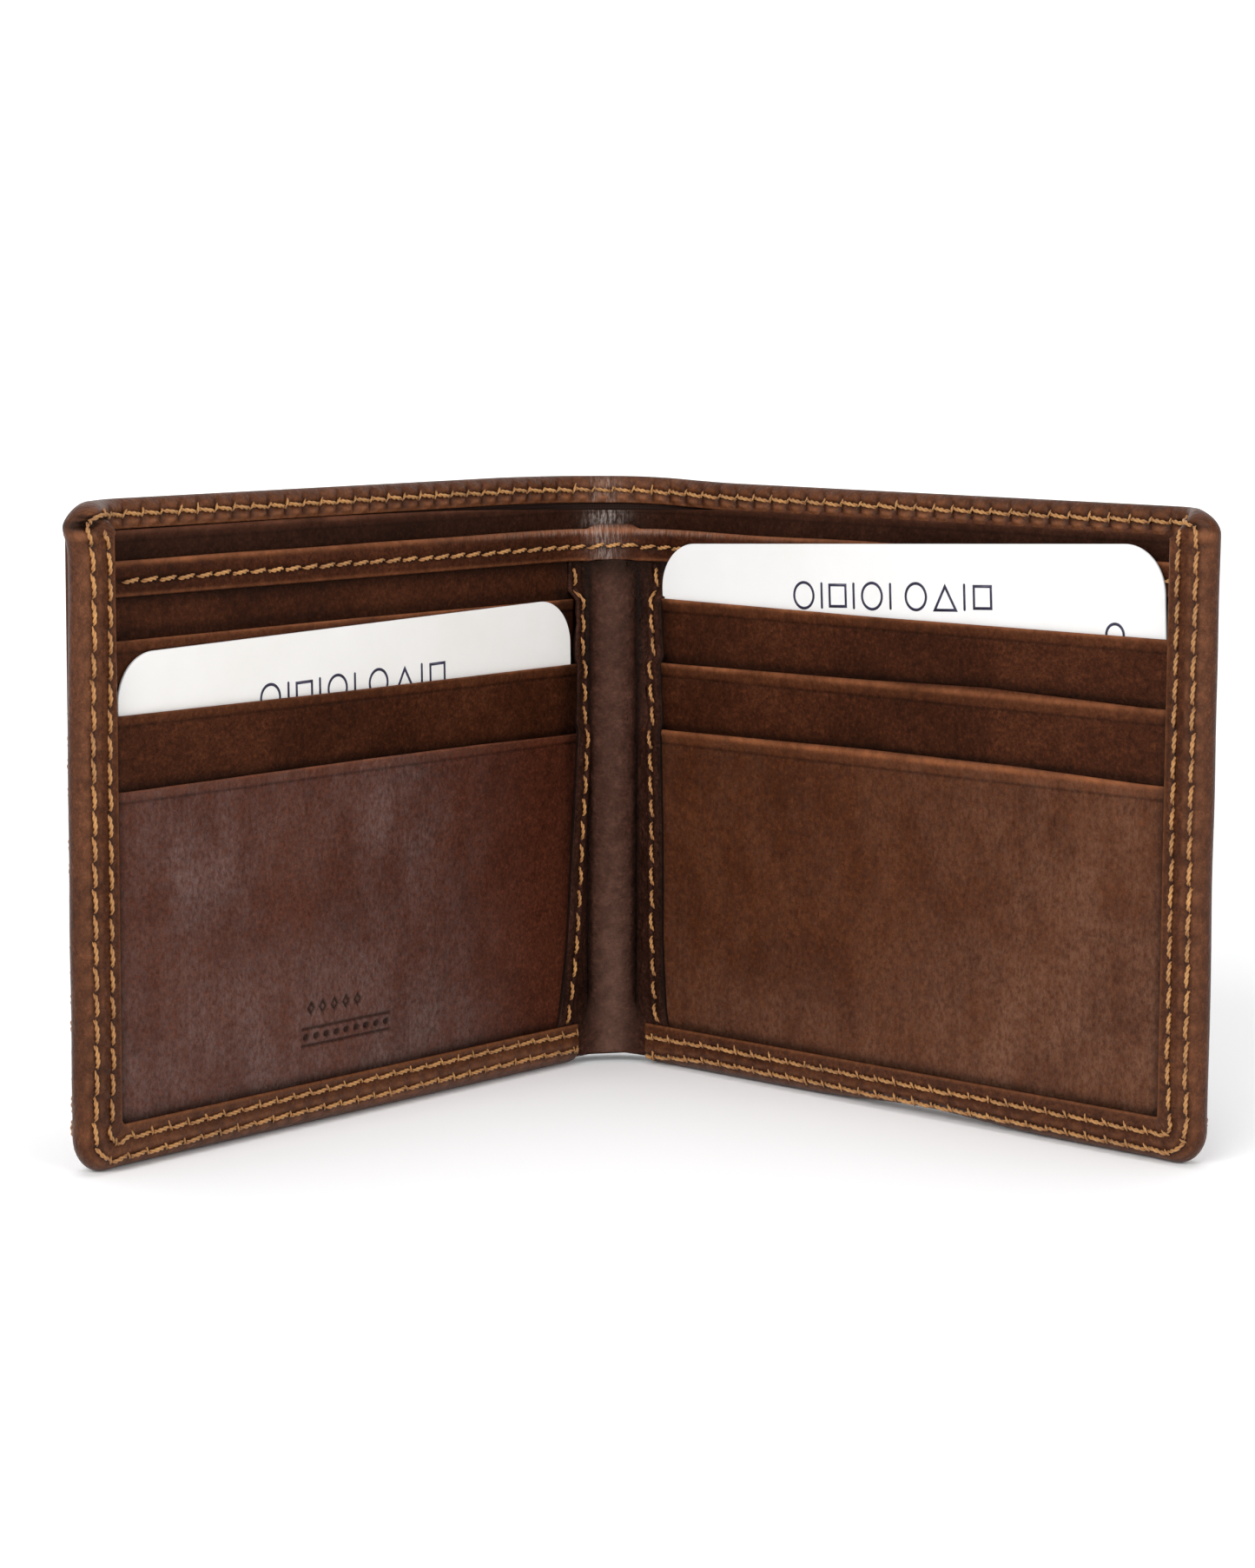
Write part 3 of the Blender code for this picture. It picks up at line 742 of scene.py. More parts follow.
def build_inner_panel():
    s = stations(LAYER_U + S_OF_U, 1.2, 0.6)
    top = BAND_V[1]
    # painted shadow under the band and above the back facing's edge, and painted shade along the side border and behind
    # the spine strip
    obj = layer("inner_panel_leather", INSIDE, s, section_rows(2.0, top, 0.5, dv=1.2, fine=0.3), PANEL_M,
                relief=lambda S, V, k: k * 0.06 * wobble(S, V, 35, 20.0),
                dark=lambda S, V, k: k * (0.9 * gauss(V - BAND_V[0] + 0.1, 1.0) + 0.7 * gauss(V - BACK_V, 0.9)
                                          + 0.7 * gauss(np.abs(S) - SIDE_U - S_OF_U, 1.2)
                                          + 0.5 * (1 - smooth(np.abs(S), 10.0, 13.5))))
    bend_sheet(obj)
    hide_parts("left_inner_panel", "right_inner_panel", "spine_inner_panel")


def band_rise(s):
    """The band rides up a little where it crosses the spine."""
    return 0.12 * wobble(s, 0 * s, 44, 50.0) + 0.75 * (1 - smooth(np.abs(s), 3.4, 5.4))


def behind_card(s):
    """1 where the right card lies over the band."""
    return smooth(s - S_OF_U, 8.9, 10.5)


def band_push(s, v):
    over_spine = 1.5 * (1 - smooth(np.abs(s), 3.2, 6.5)) * (1 - 0.55 * smooth(v, BAND_ROW_V - 0.5, BAND_V[1]))
    return over_spine - 0.12 * behind_card(s)


def build_band():
    """Folded band over the inner panel's top, with one row of stitching."""
    s = stations(SIDE_U + S_OF_U + 1.5, 0.45, 0.4)
    low, top = BAND_V[0], BAND_V[1] + 0.35
    front = spaced(low + 0.2, top - 0.45, 0.2)
    back = spaced(top - 0.45, low + 0.2, 1.2)
    v = np.concatenate([[low, low + 0.05], front, top - 0.45 + 0.45 * np.cos(ROUND), back])
    depth = np.concatenate([[0.1, BAND_T - 0.22], np.full(len(front), BAND_T), 0.28 + 0.34 * np.sin(ROUND),
                            np.zeros(len(back))])
    mask = np.concatenate([[0.0, 0.7], np.ones(len(front)), 0.5 + 0.5 * np.sin(ROUND), np.zeros(len(back))])

    def near_hole(S):
        return np.cos(math.pi * (S / PITCH + 0.5)) ** 2

    def relief(S, V, mask):
        hole = near_hole(S)
        dip = -0.24 * gauss(V - BAND_ROW_V, 0.4) * (0.45 + 0.55 * hole)
        dip = dip + 0.10 * gauss(V - BAND_ROW_V - 1.2, 0.5) * (1 - 0.7 * hole) + 0.07 * gauss(V - BAND_ROW_V + 1.1, 0.5)
        return mask * dip + band_push(S, V)

    # wear and painted highlight on the folded top, and a painted highlight along the low edge
    def edge(S, V, mask):
        fold = 0.95 * gauss(V - top + 0.2, 0.5) * (0.8 + 0.3 * wobble(S, V, 43, 15.0))
        return fold + 0.4 * mask * gauss(V - low - 0.3, 0.3)

    # painted highlight along the top edge and painted glints over the spine
    def haze(S, V, mask):
        near = 0.6 * gauss(V - top + 0.3, 0.45) * gauss(np.abs(S) - 6, 22) + 0.5 * gauss(S + 1.2, 3.0)
        return np.clip(near, 0, 0.9) * mask

    # painted shade at the stitch holes and along the row, and a painted shadow line at the low edge
    def dark(S, V, mask):
        row = 0.7 * near_hole(S) * gauss(V - BAND_ROW_V, 0.4) + 0.2 * gauss(V - BAND_ROW_V, 0.7)
        return mask * row + 0.9 * gauss(V - low, 0.08)

    def sag(S, V):
        return band_rise(S) * (0.4 + 0.6 * smooth(V, BAND_ROW_V, top))

    obj = layer("top_band_leather", INSIDE, s, (v, depth, mask), BAND_M, relief, v_shift=sag,
                edge=edge, dark=dark, haze=haze)
    bend_sheet(obj)
    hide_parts("left_top_band", "right_top_band", "spine_top_band")


build_lining()
build_divider()
build_inner_panel()
build_band()


# ---------------- card pockets
POCKET_U = 5.4


# heights of the pocket edges along each half, as (u, v)
EDGES = {
    (-1, "back"): ([10, 55, 100], [71.5, 71.6, 71.4]),
    (-1, "middle"): ([10, 60, 100], [61.7, 61.5, 61.5]),
    (-1, "front"): ([10, 30, 55, 100], [51.1, 51.4, 51.5, 51.3]),
    (1, "back"): ([10, 50, 100], [71.7, 71.5, 71.6]),
    (1, "middle"): ([10, 50, 72, 100], [62.0, 62.4, 62.9, 62.2]),
    (1, "front"): ([10, 50, 80, 100], [51.9, 52.4, 52.3, 51.8]),
}


def pocket_layer(side, name, mat, v0, v1, m0, t, bead, seed, node_name, swell, du=0.9, ornament=False):
    """One half's flat layer behind or in front of a card, open at its top edge v1."""
    u = spaced(POCKET_U, LAYER_U, du)
    front = None
    if ornament:
        # finer grid where the small pressed ornament is
        u = np.concatenate([spaced(POCKET_U, 46.0, du)[:-1], spaced(46.0, 71.0, 0.2)[:-1], spaced(71.0, LAYER_U, du)])
        top = v1 - t / 2
        front = np.concatenate([spaced(v0, 9.0, du)[:-1], spaced(9.0, 21.0, 0.2)[:-1],
                                spaced(21.0, top - 3.2, du)[:-1], spaced(top - 3.2, top, 0.15)])
    edge, fold_dark = rolled_edge(v1)
    side_u = SIDE_U + (0.8 if side > 0 else 0.0)

    # painted reflection, in pale clouds over the front panels, stronger outwards and low down
    def cloudy(S, V, mask):
        if node_name != "front_panel":
            return 0.0
        if side < 0:
            out = 0.75 * smooth(S, 14, 45) * (0.55 + 0.45 * (1 - smooth(V, 10, 34)))
            out = out + 0.5 * gauss(S - 88, 9) * gauss(V - 40, 7) + 0.4 * gauss(S - 48, 8) * gauss(V - 44, 9)
        else:
            out = 0.25 + 0.6 * smooth(S, 40, 98) * (0.5 + 0.5 * (1 - smooth(V, 25, 60)))
            out = out + 0.35 * (1 - smooth(V, 8, 24))
        return np.clip(out, 0, 0.95) * mask

    def sag(S, V):
        us, vs = EDGES[side, name.split("_")[0]]
        return (np.interp(S, us, vs) - v1) * smooth(V, v1 - 12, v1 - 4)

    def stamp(S, V):
        return ornament_depth(S, V) if ornament else 0.0

    def relief(S, V, mask):
        across = np.clip(np.sin(math.pi * np.clip((S - 9.5) / (SIDE_U - 9.5), 0, 1)), 0, 1) ** 0.5
        out = swell * across * smooth(V, 6.5, 16.0)
        out = out + 0.07 * wobble(S, V, seed + 1, 17.0) + 0.03 * wobble(S, V, seed + 2, 5.5)
        out = out - 0.10 * gauss(V - v1 + 2.1, 0.2) * mask
        out = out + bead * gauss(V - v1 + 0.5, 0.75) * mask
        out = out - 0.35 * (1 - smooth(np.abs(S - (side_u + 0.2)), 0.0, 1.6)) * mask
        return out - 0.34 * stamp(S, V) * mask

    def dark(S, V, mask):
        # seam and low are painted shadow: along the side border, beside the spine strip, along the bottom border's edge
        # and just above the edge of the layer in front
        seam = 0.8 * gauss(S - side_u, 1.0) + 0.7 * (1 - smooth(S, 8.0, 11.4))
        if v0 < 5:
            low = 0.85 * gauss(V - BOTTOM_V, 1.0)
        else:
            low = 0.85 * gauss(V - np.interp(S, *EDGES[side, "front" if v1 < 65 else "middle"]) - 0.1, 0.9)
        return fold_dark(S, V, mask) + seam * mask + low * mask + 0.85 * stamp(S, V)

    obj = layer(HALF_NAME[side] + name, mat, u, section_rows(v0, v1, t, dv=du, fine=0.15, front=front), m0, relief,
                bend=False, side=side, v_shift=sag, edge=edge, dark=dark, haze=cloudy)
    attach(obj, HALF_BODY[side])
    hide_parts(HALF_NAME[side] + node_name)


def ornament_depth(S, V):
    """A small pressed ornament: a row of lozenges over a beaded line."""
    total = np.zeros(np.broadcast_shapes(S.shape, V.shape))
    for k in range(5):
        cu = 56.3 + 2.45 * k
        d = np.abs(S - cu) / 0.95 + np.abs(V - 17.0) / 1.25
        total = np.maximum(total, 1 - smooth(d, 0.75, 1.05))
        hole = 1 - smooth(d, 0.25, 0.5)
        total = total - 0.8 * hole * (d < 0.6)
    for k in range(9):
        cu = 50.3 + 2.1 * k
        d = np.hypot((S - cu) / 0.75, (V - 12.9) / 0.55)
        total = np.maximum(total, 1 - smooth(d, 0.7, 1.1))
    for dv in (-1.25, 1.25):
        bar = (1 - smooth(np.abs(V - 12.9 - dv), 0.12, 0.32)) * (1 - smooth(np.abs(S - 58.7), 9.2, 9.5))
        total = np.maximum(total, 0.8 * bar)
    return np.clip(total, 0, 1)


for side in (-1, 1):
    # the left card stands in front of this facing, the right card behind it
    back_m, bead, swell = (3.62, 0.04, 0.0) if side < 0 else (3.82, 0.12, 0.15)
    pocket_layer(side, "back_facing_leather", INSIDE, 50.0, BACK_V, back_m, 0.5, bead, 50 + side,
                 "back_pocket_facing", swell=swell)
    pocket_layer(side, "middle_facing_leather", INSIDE, 40.0, MIDDLE_V, MIDDLE_M, 0.5, 0.12, 60 + side,
                 "middle_pocket_facing", swell=0.15)
    pocket_layer(side, "front_panel_leather", PANEL_L if side < 0 else PANEL_R, 2.0, FRONT_V, FRONT_M, 0.5, 0.14,
                 70 + side, "front_panel", swell=0.18, du=0.8, ornament=side < 0)
    for part, v0, v1, m0 in (("back_pocket_lining", 20.5, 54.0, 3.85), ("middle_pocket_lining", 10.5, 44.0, 4.87)):
        u = spaced(7.2, LAYER_U, 3.0)
        cloth = layer(HALF_NAME[side] + part + "_cloth", LINING, u, section_rows(v0, v1, 0.2, dv=3.0, fine=1.0), m0,
                      relief=lambda S, V, k: 0.03 * wobble(S, V, 81, 15.0), bend=False, side=side)
        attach(cloth, HALF_BODY[side])
        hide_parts(HALF_NAME[side] + part)


# ---------------- strip over the spine
def seam_u(side, v):
    """Where the strip's seam lies on each half."""
    if side < 0:
        return np.interp(v, [0, 6.6, 9.2, 14.5, 19.8, 25, 30.4, 35.7, 41, 46.3, 51, 57, 67, 78],
                         [10.2, 9.9, 9.3, 8.4, 7.6, 7.2, 6.85, 6.4, 6.0, 5.6, 5.2, 5.1, 4.9, 4.8])
    return np.interp(v, [0, 6.5, 9.1, 14.4, 20, 30, 38.5, 49, 54.5, 60, 65, 70, 77],
                     [9.8, 9.5, 9.0, 8.6, 8.25, 8.2, 8.1, 7.7, 7.4, 7.0, 6.5, 6.1, 5.9])


def flange_level(v, side):
    """Depth of the strip's stitched edges, stepping down with the pocket tops."""
    level = 6.3 + 0 * v
    # on the left the step by the middle facing is smaller, because the card stands there
    middle_drop, back_drop = (0.5, 1.7) if side < 0 else (0.95, 1.25)
    for top, drop in ((FRONT_V, 0.75), (MIDDLE_V, middle_drop), (BACK_V, back_drop)):
        level = level - drop * smooth(v, top - 0.7, top + 1.3)
    return level - 0.65 * (1 - smooth(v, 5.4, 7.2))


def spline(keys, count):
    """count points along a Catmull-Rom curve whose other half mirrors it, and the lengths at its keys."""
    k = np.array(keys)
    d = np.concatenate([[0], np.cumsum(np.hypot(*np.diff(k, axis=0).T))])
    out = []
    for w in np.linspace(0, 1, count) * d[-1]:
        i = min(max(int(np.searchsorted(d, w, side="right")) - 1, 0), len(k) - 2)
        p0 = k[i - 1] if i > 0 else np.array([-k[1][0], k[1][1]])
        p3 = k[i + 2] if i + 2 < len(k) else 2 * k[i + 1] - k[i]
        p1, p2 = k[i], k[i + 1]
        f = (w - d[i]) / max(d[i + 1] - d[i], 1e-9)
        out.append(0.5 * (2 * p1 + (p2 - p0) * f + (2 * p0 - 5 * p1 + 4 * p2 - p3) * f * f
                          + (3 * p1 - p0 - 3 * p2 + p3) * f ** 3))
    return out, d


def build_strip():
    v = spaced(1.1, 78.6, 0.5)
    half, valley = {}, {}
    for side in (-1, 1):
        pts, deep = [], []
        for vi in v:
            seam = float(seam_u(side, vi))
            foot = 1 - smooth(vi, 5.0, 11.0)
            top = smooth(vi, 68.0, 78.5)
            apex = -3.45 + 2.2 * top + 0.5 * foot
            crease_x = 3.55 + 0.65 * foot
            n = float(flange_level(np.array(vi), side)) + OUTER_N - 0.3

            def flange(u, dn):
                nn = n + dn
                return (u * COS - nn * SIN, -u * SIN - nn * COS)

            # the outer edge stays clear of the cards
            tuck = float(smooth(vi, 70.5, 72.5)) if side > 0 else 0.0
            narrow = float(0.45 * smooth(vi, 50.0, 56.0) + 0.6 * smooth(vi, 65.0, 69.5)) if side < 0 else 0.0
            crease_y = min(apex + 1.35 * (1 - foot) * (1 - 0.6 * top) - 0.3 * foot, -0.3)
            out, d = spline([(0.0, apex), (1.3, apex + 0.10 * (1 - foot)), (2.5, apex + 0.48 * (1 - foot) - 0.1 * foot),
                             (crease_x - 0.2, crease_y), (crease_x + 0.55, crease_y + 0.1 - 0.45 * foot),
                             flange(seam - 1.4, -0.3), flange(seam - 0.7, 0.10), flange(seam, -0.12),
                             flange(seam + 0.9, 0.12 - 0.15 * tuck), flange(seam + 1.9 - narrow, -0.5 * tuck)], 41)
            deep.append((d[3] + d[4]) / 2)
            pts.append(out)
        half[side] = np.array(pts)
        valley[side] = np.array(deep)
    left = half[-1][:, ::-1].copy()
    left[..., 0] *= -1
    line = np.concatenate([left, half[1][:, 1:]], axis=1)
    tangent = np.gradient(line, axis=1)
    tangent /= np.linalg.norm(tangent, axis=-1, keepdims=True)
    normal = np.stack([tangent[..., 1], -tangent[..., 0]], axis=-1)
    steps = np.linalg.norm(np.diff(line, axis=1), axis=-1)
    arc = np.concatenate([np.zeros((len(v), 1)), np.cumsum(steps, axis=1)], axis=1)
    arc -= arc[:, line.shape[1] // 2][:, None]
    vv = v[:, None] + 0 * arc
    wrinkle = 0.05 * wobble(arc, vv, 91, 5.0) + 0.035 * wobble(arc * 2.2, vv, 92, 2.6)
    front = line + normal * (0.36 + wrinkle[..., None])
    rear = line - normal * 0.36
    section = np.concatenate([front, rear[:, ::-1]], axis=1)
    foot_shift = np.concatenate([0.5 * gauss(arc, 4.0), 0.5 * gauss(arc[:, ::-1], 4.0)], axis=1)
    z = np.concatenate([vv, vv], axis=1)
    z = z + foot_shift * (1 - smooth(z, 1.0, 12.0))
    pts = np.concatenate([section, z[..., None]], axis=-1)
    pts[..., 1] += AXIS_Y
    vs = np.concatenate([arc, arc[:, ::-1] + 60.0, arc[:, :1] + 80.0], axis=1)
    a_front = np.abs(arc)
    end_arc = a_front[:, -1:]
    # painted highlight along the bulge's crest, brighter towards the foot
    crest_highlight = 0.45 * gauss(a_front, 2.4) * (0.55 + 0.9 * (1 - smooth(vv, 4, 42)))
    bottom_of = np.where(arc < 0, valley[-1][:, None], valley[1][:, None])
    # painted shade in the valleys beside the bulge and under the band, with a darker line along the flange's stitches
    # and at its cut end
    shade = 0.95 * gauss(a_front - bottom_of, 1.0) + 0.75 * gauss(end_arc - a_front - 0.2, 0.45)
    shade = shade + 0.4 * gauss(end_arc - a_front - 1.9, 0.5)
    shade = np.maximum(shade * smooth(vv, 3.0, 12.0), 0.85 * smooth(vv, 72.5, 77.5))
    # the strip's back half is painted in shade
    obj = loft("spine_strip_leather", pts, v, vs, STRIP, edge=np.concatenate([crest_highlight, 0 * crest_highlight], axis=1),
               dark=np.concatenate([shade, 0 * shade + 0.6], axis=1))
    bend_sheet(obj)
    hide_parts("spine_strip", "left_spine_edge", "right_spine_edge")


build_strip()


# ---------------- stitching
def threads(name, centres, normals, radius, twist, ply):
    """Two twisted plies along each path. centres and normals are (K, R, 3) in mm."""
    k, r, _ = centres.shape
    t = np.gradient(centres, axis=1)
    t /= np.linalg.norm(t, axis=-1, keepdims=True)
    n = normals - t * np.sum(normals * t, axis=-1, keepdims=True)
    n /= np.linalg.norm(n, axis=-1, keepdims=True)
    b = np.cross(t, n)
    along = np.linspace(0, 1, r)[None, :, None]
    sides = 6
    ends = 0.35 + 0.65 * np.sin(np.pi * np.clip(along, 0.02, 0.98)) ** 0.4
    verts, faces = [], []
    ang = np.arange(sides) * 2 * math.pi / sides
    cos, sin = np.cos(ang)[None, None, :, None], np.sin(ang)[None, None, :, None]
    start = rng.uniform(0, 6.28, (k, 1, 1))
    for phase in (0.0, math.pi):
        a = start + 2 * math.pi * twist * along + phase
        centre = centres + ply * (np.cos(a) * n + np.sin(a) * b)
        ring = (centre[:, :, None, :] + radius * ends[..., None] * (cos * n[:, :, None, :] + sin * b[:, :, None, :]))
        verts.append(ring.reshape(-1, 3))
    for o in range(0, 2 * k * r * sides, r * sides):
        for j in range(r - 1):
            faces += bridge(o + j * sides, o + (j + 1) * sides, sides)
        faces.append(tuple(range(o, o + sides))[::-1])
        faces.append(tuple(range(o + (r - 1) * sides, o + r * sides)))
    # painted highlight along the top of each ply, brightest at the middle of a stitch
    wear_and_highlight = 0.55 * np.clip(np.cos(ang), 0, 1)[None, None, :] ** 2 * np.sin(np.pi * along) ** 1.5
    edge = np.broadcast_to(wear_and_highlight, (2 * k, r, sides))
    return make_object(name, np.concatenate(verts), faces, THREAD, edge=edge)


STITCH_RINGS, TICK_RINGS = 9, 5
SINK = 0.35                      # how deep a stitch's ends go


def stitch_paths(point, starts, length, lift=0.30, slant=0.22):
    """point(t, across, up) gives world mm; one stitch starts at each t."""
    along = np.linspace(0, 1, STITCH_RINGS)[None, :]
    t = np.asarray(starts)[:, None] + np.reshape(length, (-1, 1)) * along
    jitter = rng.normal(0, 0.05, (len(starts), 1))
    across = slant * (2 * along - 1) + jitter
    up = lift * np.sin(np.pi * along) ** 0.55 - SINK * (np.abs(2 * along - 1) ** 5)
    centre = point(t, across, up)
    normal = point(t, across, up + 0.5) - centre
    return centre, normal


def ticks(point, holes, size):
    """The short thread ends of a lock stitch, standing across the row at each hole."""
    along = np.linspace(0, 1, TICK_RINGS)[None, :]
    lean = rng.normal(0.0, 0.25, (len(holes), 1))
    t = np.asarray(holes)[:, None] + (along - 0.3) * (0.65 + lean)
    across = size * (along - 0.35) * (1 + rng.normal(0, 0.22, (len(holes), 1)))
    up = 0.18 * np.sin(np.pi * np.clip(along * 0.9 + 0.05, 0, 1)) - 0.05
    centre = point(t, across, up)
    return centre, point(t, across, up + 0.5) - centre


def rim_point(track, run, outside):
    """Maps a length along a rim row to the world; across is towards the inside."""
    inward = RIM[:, 2:4] - RIM[:, 0:2]
    inward = inward / np.linalg.norm(inward, axis=1, keepdims=True)
    level = RIM[:, 4]

    def point(t, across, up):
        s = np.interp(t, run, track[:, 0]) + across * np.interp(t, run, inward[:, 0])
        v = np.interp(t, run, track[:, 1]) + across * np.interp(t, run, inward[:, 1])
        m = np.interp(t, run, level) - 0.16 + up if not outside else 0.22 - 0.8 * up
        m = m + 0 * s
        return rim_place(s, v, m)

    return point


def add_threads(name, parts, body, replaced):
    """Join threads into one object. With a body it is attached to it; without one its transform is baked into the mesh,
    as for the sheets.
    """
    objs = [threads(f"{name}_{i}", centre, normal, **opts) for i, (centre, normal, opts) in enumerate(parts)]
    obj = objs[0]
    if len(objs) > 1:
        bpy.ops.object.select_all(action="DESELECT")
        for o in objs:
            o.select_set(True)
        bpy.context.view_layer.objects.active = obj
        bpy.ops.object.join()
    obj.name = name
    if body:
        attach(obj, body)
    else:
        bend_sheet(obj)
    if replaced:
        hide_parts(*replaced)


def v_at(track, run, t):
    return np.interp(t, run, track[:, 1])


def s_at(track, run, t):
    return np.interp(t, run, track[:, 0])


def split_row(first, lo, hi):
    """Holes at a steady pitch between lo and hi, with short stitches at both ends."""
    holes = first + PITCH * np.arange(math.ceil((lo - first) / PITCH), math.floor((hi - first) / PITCH) + 1)
    if holes[0] - lo > 0.45:
        holes = np.concatenate([[lo], holes])
    if hi - holes[-1] > 0.45:
        holes = np.concatenate([holes, [hi]])
    return holes


THICK = dict(radius=0.2, twist=1.7, ply=0.15)
TICK = dict(radius=0.13, twist=0.6, ply=0.08)
def sew_row(name, point, starts, lengths, outside, low, size, body, pieces, **shape):
    """A border row. Inside, the thread ends stand at the holes in low."""
    parts = [(*stitch_paths(point, starts + 0.12, lengths - 0.24, **shape), THICK)]
    if not outside:
        parts.append((*ticks(point, low, size=size), TICK))
    add_threads(name + ("_outside" if outside else ""), parts, body, () if outside else pieces)


holes1 = split_row(RUN1[MIDDLE], RUN1[0] + 0.2, RUN1[-1] - 0.2)
for outside in (False, True):
    point1 = rim_point(TRACK1, RUN1, outside)
    point2 = rim_point(TRACK2, RUN2, outside)
    starts, lengths = holes1[:-1], np.diff(holes1)
    s_mid, v_mid = s_at(TRACK1, RUN1, starts + lengths / 2), v_at(TRACK1, RUN1, starts + lengths / 2)
    is_top = (v_mid > 86.6) & (np.abs(s_mid) < HALF + S_OF_U - 3.0)
    hem = starts[is_top]
    sew_row("hem_stitches", point1, hem, PITCH, outside, hem, -1.2, None,
            ("left_hem_stitch", "right_hem_stitch", "spine_hem_stitch"), lift=0.26)
    for side in (-1, 1):
        mine = (~is_top) & (np.sign(s_mid) == side)
        sew_row(HALF_NAME[side] + "outer_row", point1, starts[mine], lengths[mine], outside,
                starts[mine & (v_mid < 3.3)], 1.35, HALF_BODY[side], (HALF_NAME[side] + "outer_stitch",),
                slant=0.17 * side)
        # inner row, up to the hem
        ours = np.where((np.sign(TRACK2[:, 0]) == side) & (TRACK2[:, 1] < 87.2) & (np.abs(TRACK2[:, 0]) < HALF + S_OF_U)
                        & ((RIM[:, 6] < NO_ROW) | (TRACK2[:, 1] > 86.0)))[0]
        holes2 = split_row(0.0, RUN2[ours.min()] + 0.2, RUN2[ours.max()] - 0.2)
        starts2 = holes2[:-1]
        sew_row(HALF_NAME[side] + "inner_row", point2, starts2, np.diff(holes2), outside,
                starts2[v_at(TRACK2, RUN2, starts2 + 1.0) < 5.6], 1.35, HALF_BODY[side],
                (HALF_NAME[side] + "inner_stitch",), slant=0.17 * side)


def band_point(t, across, up):
    m = BAND_M + BAND_T - 0.12 + up + band_push(t, BAND_ROW_V) - 0.24 * behind_card(t)
    return place(t, BAND_ROW_V + across + 0.45 * band_rise(t), m)


reach = SIDE_U + S_OF_U + 1.2
band_holes = PITCH * (np.arange(-int(reach / PITCH), int(reach / PITCH)) + 0.5)
centre, normal = stitch_paths(band_point, band_holes + 0.15, PITCH - 0.35, slant=0.2)
add_threads("band_stitches", [(centre, normal, THICK)], None,
            ("left_band_stitch", "right_band_stitch", "spine_band_stitch"))

for side in (-1, 1):
    def seam_point(t, across, up, side=side):
        u = seam_u(side, t) + across
        m = flange_level(t, side) + up
        return flat_place(side, u, t + 0 * u, m)

    holes = np.arange(BOTTOM_V + 0.1, BAND_V[0] - 2.6, PITCH)
    centre, normal = stitch_paths(seam_point, holes + 0.25, PITCH - 0.5, slant=-0.2 * side, lift=0.34)
    add_threads(HALF_NAME[side] + "spine_seam", [(centre, normal, dict(radius=0.175, twist=1.8, ply=0.15))],
                HALF_BODY[side], (HALF_NAME[side] + "spine_edge_stitch",))


# ---------------- dummy cards
CARD_W, CARD_H, CARD_CORNER = 94.8, 57.5, 6.8


def card_to_world(side, placing, a, b, m):
    """a, b are the card's own coordinates from its centre."""
    u0, v0, tilt = placing
    c, s_ = math.cos(math.radians(tilt)), math.sin(math.radians(tilt))
    u = u0 + a * c - b * s_
    v = v0 + a * s_ + b * c
    return flat_place(side, u, v, m, squeeze="")


def rounded(a0, b0, half_w, half_h, r, steps, inset=0.0):
    """Outline of a rounded rectangle about (a0, b0), drawn in by inset."""
    loop = []
    for cx, cy, start in ((1, -1, -90), (1, 1, 0), (-1, 1, 90), (-1, -1, 180)):
        for q in np.linspace(0, 90, steps):
            a = math.radians(start + q)
            loop.append((a0 + cx * (half_w - r) + (r - inset) * math.cos(a),
                         b0 + cy * (half_h - r) + (r - inset) * math.sin(a)))
    return np.array(loop)


def caps(low, high, k):
    """The two end faces between rings of k points."""
    return [tuple(range(low, low + k))[::-1], tuple(range(high, high + k))]


def build_card(side, placing, m0, t, mat, node_name):
    """Rounded card with softened edges, lofted from inset outlines."""
    verts, edge, uvs, faces = [], [], [], []
    levels = [(0.14, 0.0), (0.04, 0.04), (0.0, 0.13), (0.0, t - 0.13), (0.04, t - 0.04), (0.14, t)]
    for inset, dm in levels:
        loop = rounded(0.0, 0.0, CARD_W / 2, CARD_H / 2, CARD_CORNER, 19, inset)
        k = len(loop)
        verts.append(card_to_world(side, placing, loop[:, 0], loop[:, 1], m0 + dm))
        edge.append(np.full(k, 0.5 if inset < 0.1 else 0.0))
        uvs.append(loop)
    uvs = np.concatenate(uvs)
    for i in range(len(levels) - 1):
        faces += bridge(i * k, (i + 1) * k, k)
    faces += caps(0, (len(levels) - 1) * k, k)
    uv = [tuple(uvs[i]) for f in faces for i in f]
    obj = make_object(node_name + "_plastic", np.concatenate(verts), faces, mat, uv, 2, edge=edge)
    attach(obj, node_name)
    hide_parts(node_name)


def printed(side, placing, m, name, bars, outlines, body):
    """Thin raised print: bars (a, b, half width, half height) and outlined shapes
    (a, b, corners, radius, turn) on a card's face."""
    verts, faces = [], []

    def add(loop):
        for level in (m, m + 0.02):
            verts.extend(card_to_world(side, placing, loop[:, 0], loop[:, 1], level))

    for a0, b0, hw, hh in bars:
        loop = rounded(a0, b0, hw, hh, min(hw, hh) * 0.98, 5)
        base, k = len(verts), len(loop)
        add(loop)
        faces += bridge(base, base + k, k) + caps(base, base + k, k)
    for a0, b0, k, radius, turn in outlines:
        ang = np.arange(k) * 2 * math.pi / k + math.radians(turn)
        half = STROKE / 2 / math.cos(math.pi / k)
        base = len(verts)
        for rr in (radius - half, radius + half):
            add(np.stack([a0 + rr * np.cos(ang), b0 + rr * np.sin(ang)], axis=1))
        for one, two in ((0, 2), (2, 3), (3, 1), (1, 0)):
            faces += bridge(base + one * k, base + two * k, k)
    obj = make_object(name, np.array(verts), faces, INK)
    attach(obj, body)


STROKE = 0.42


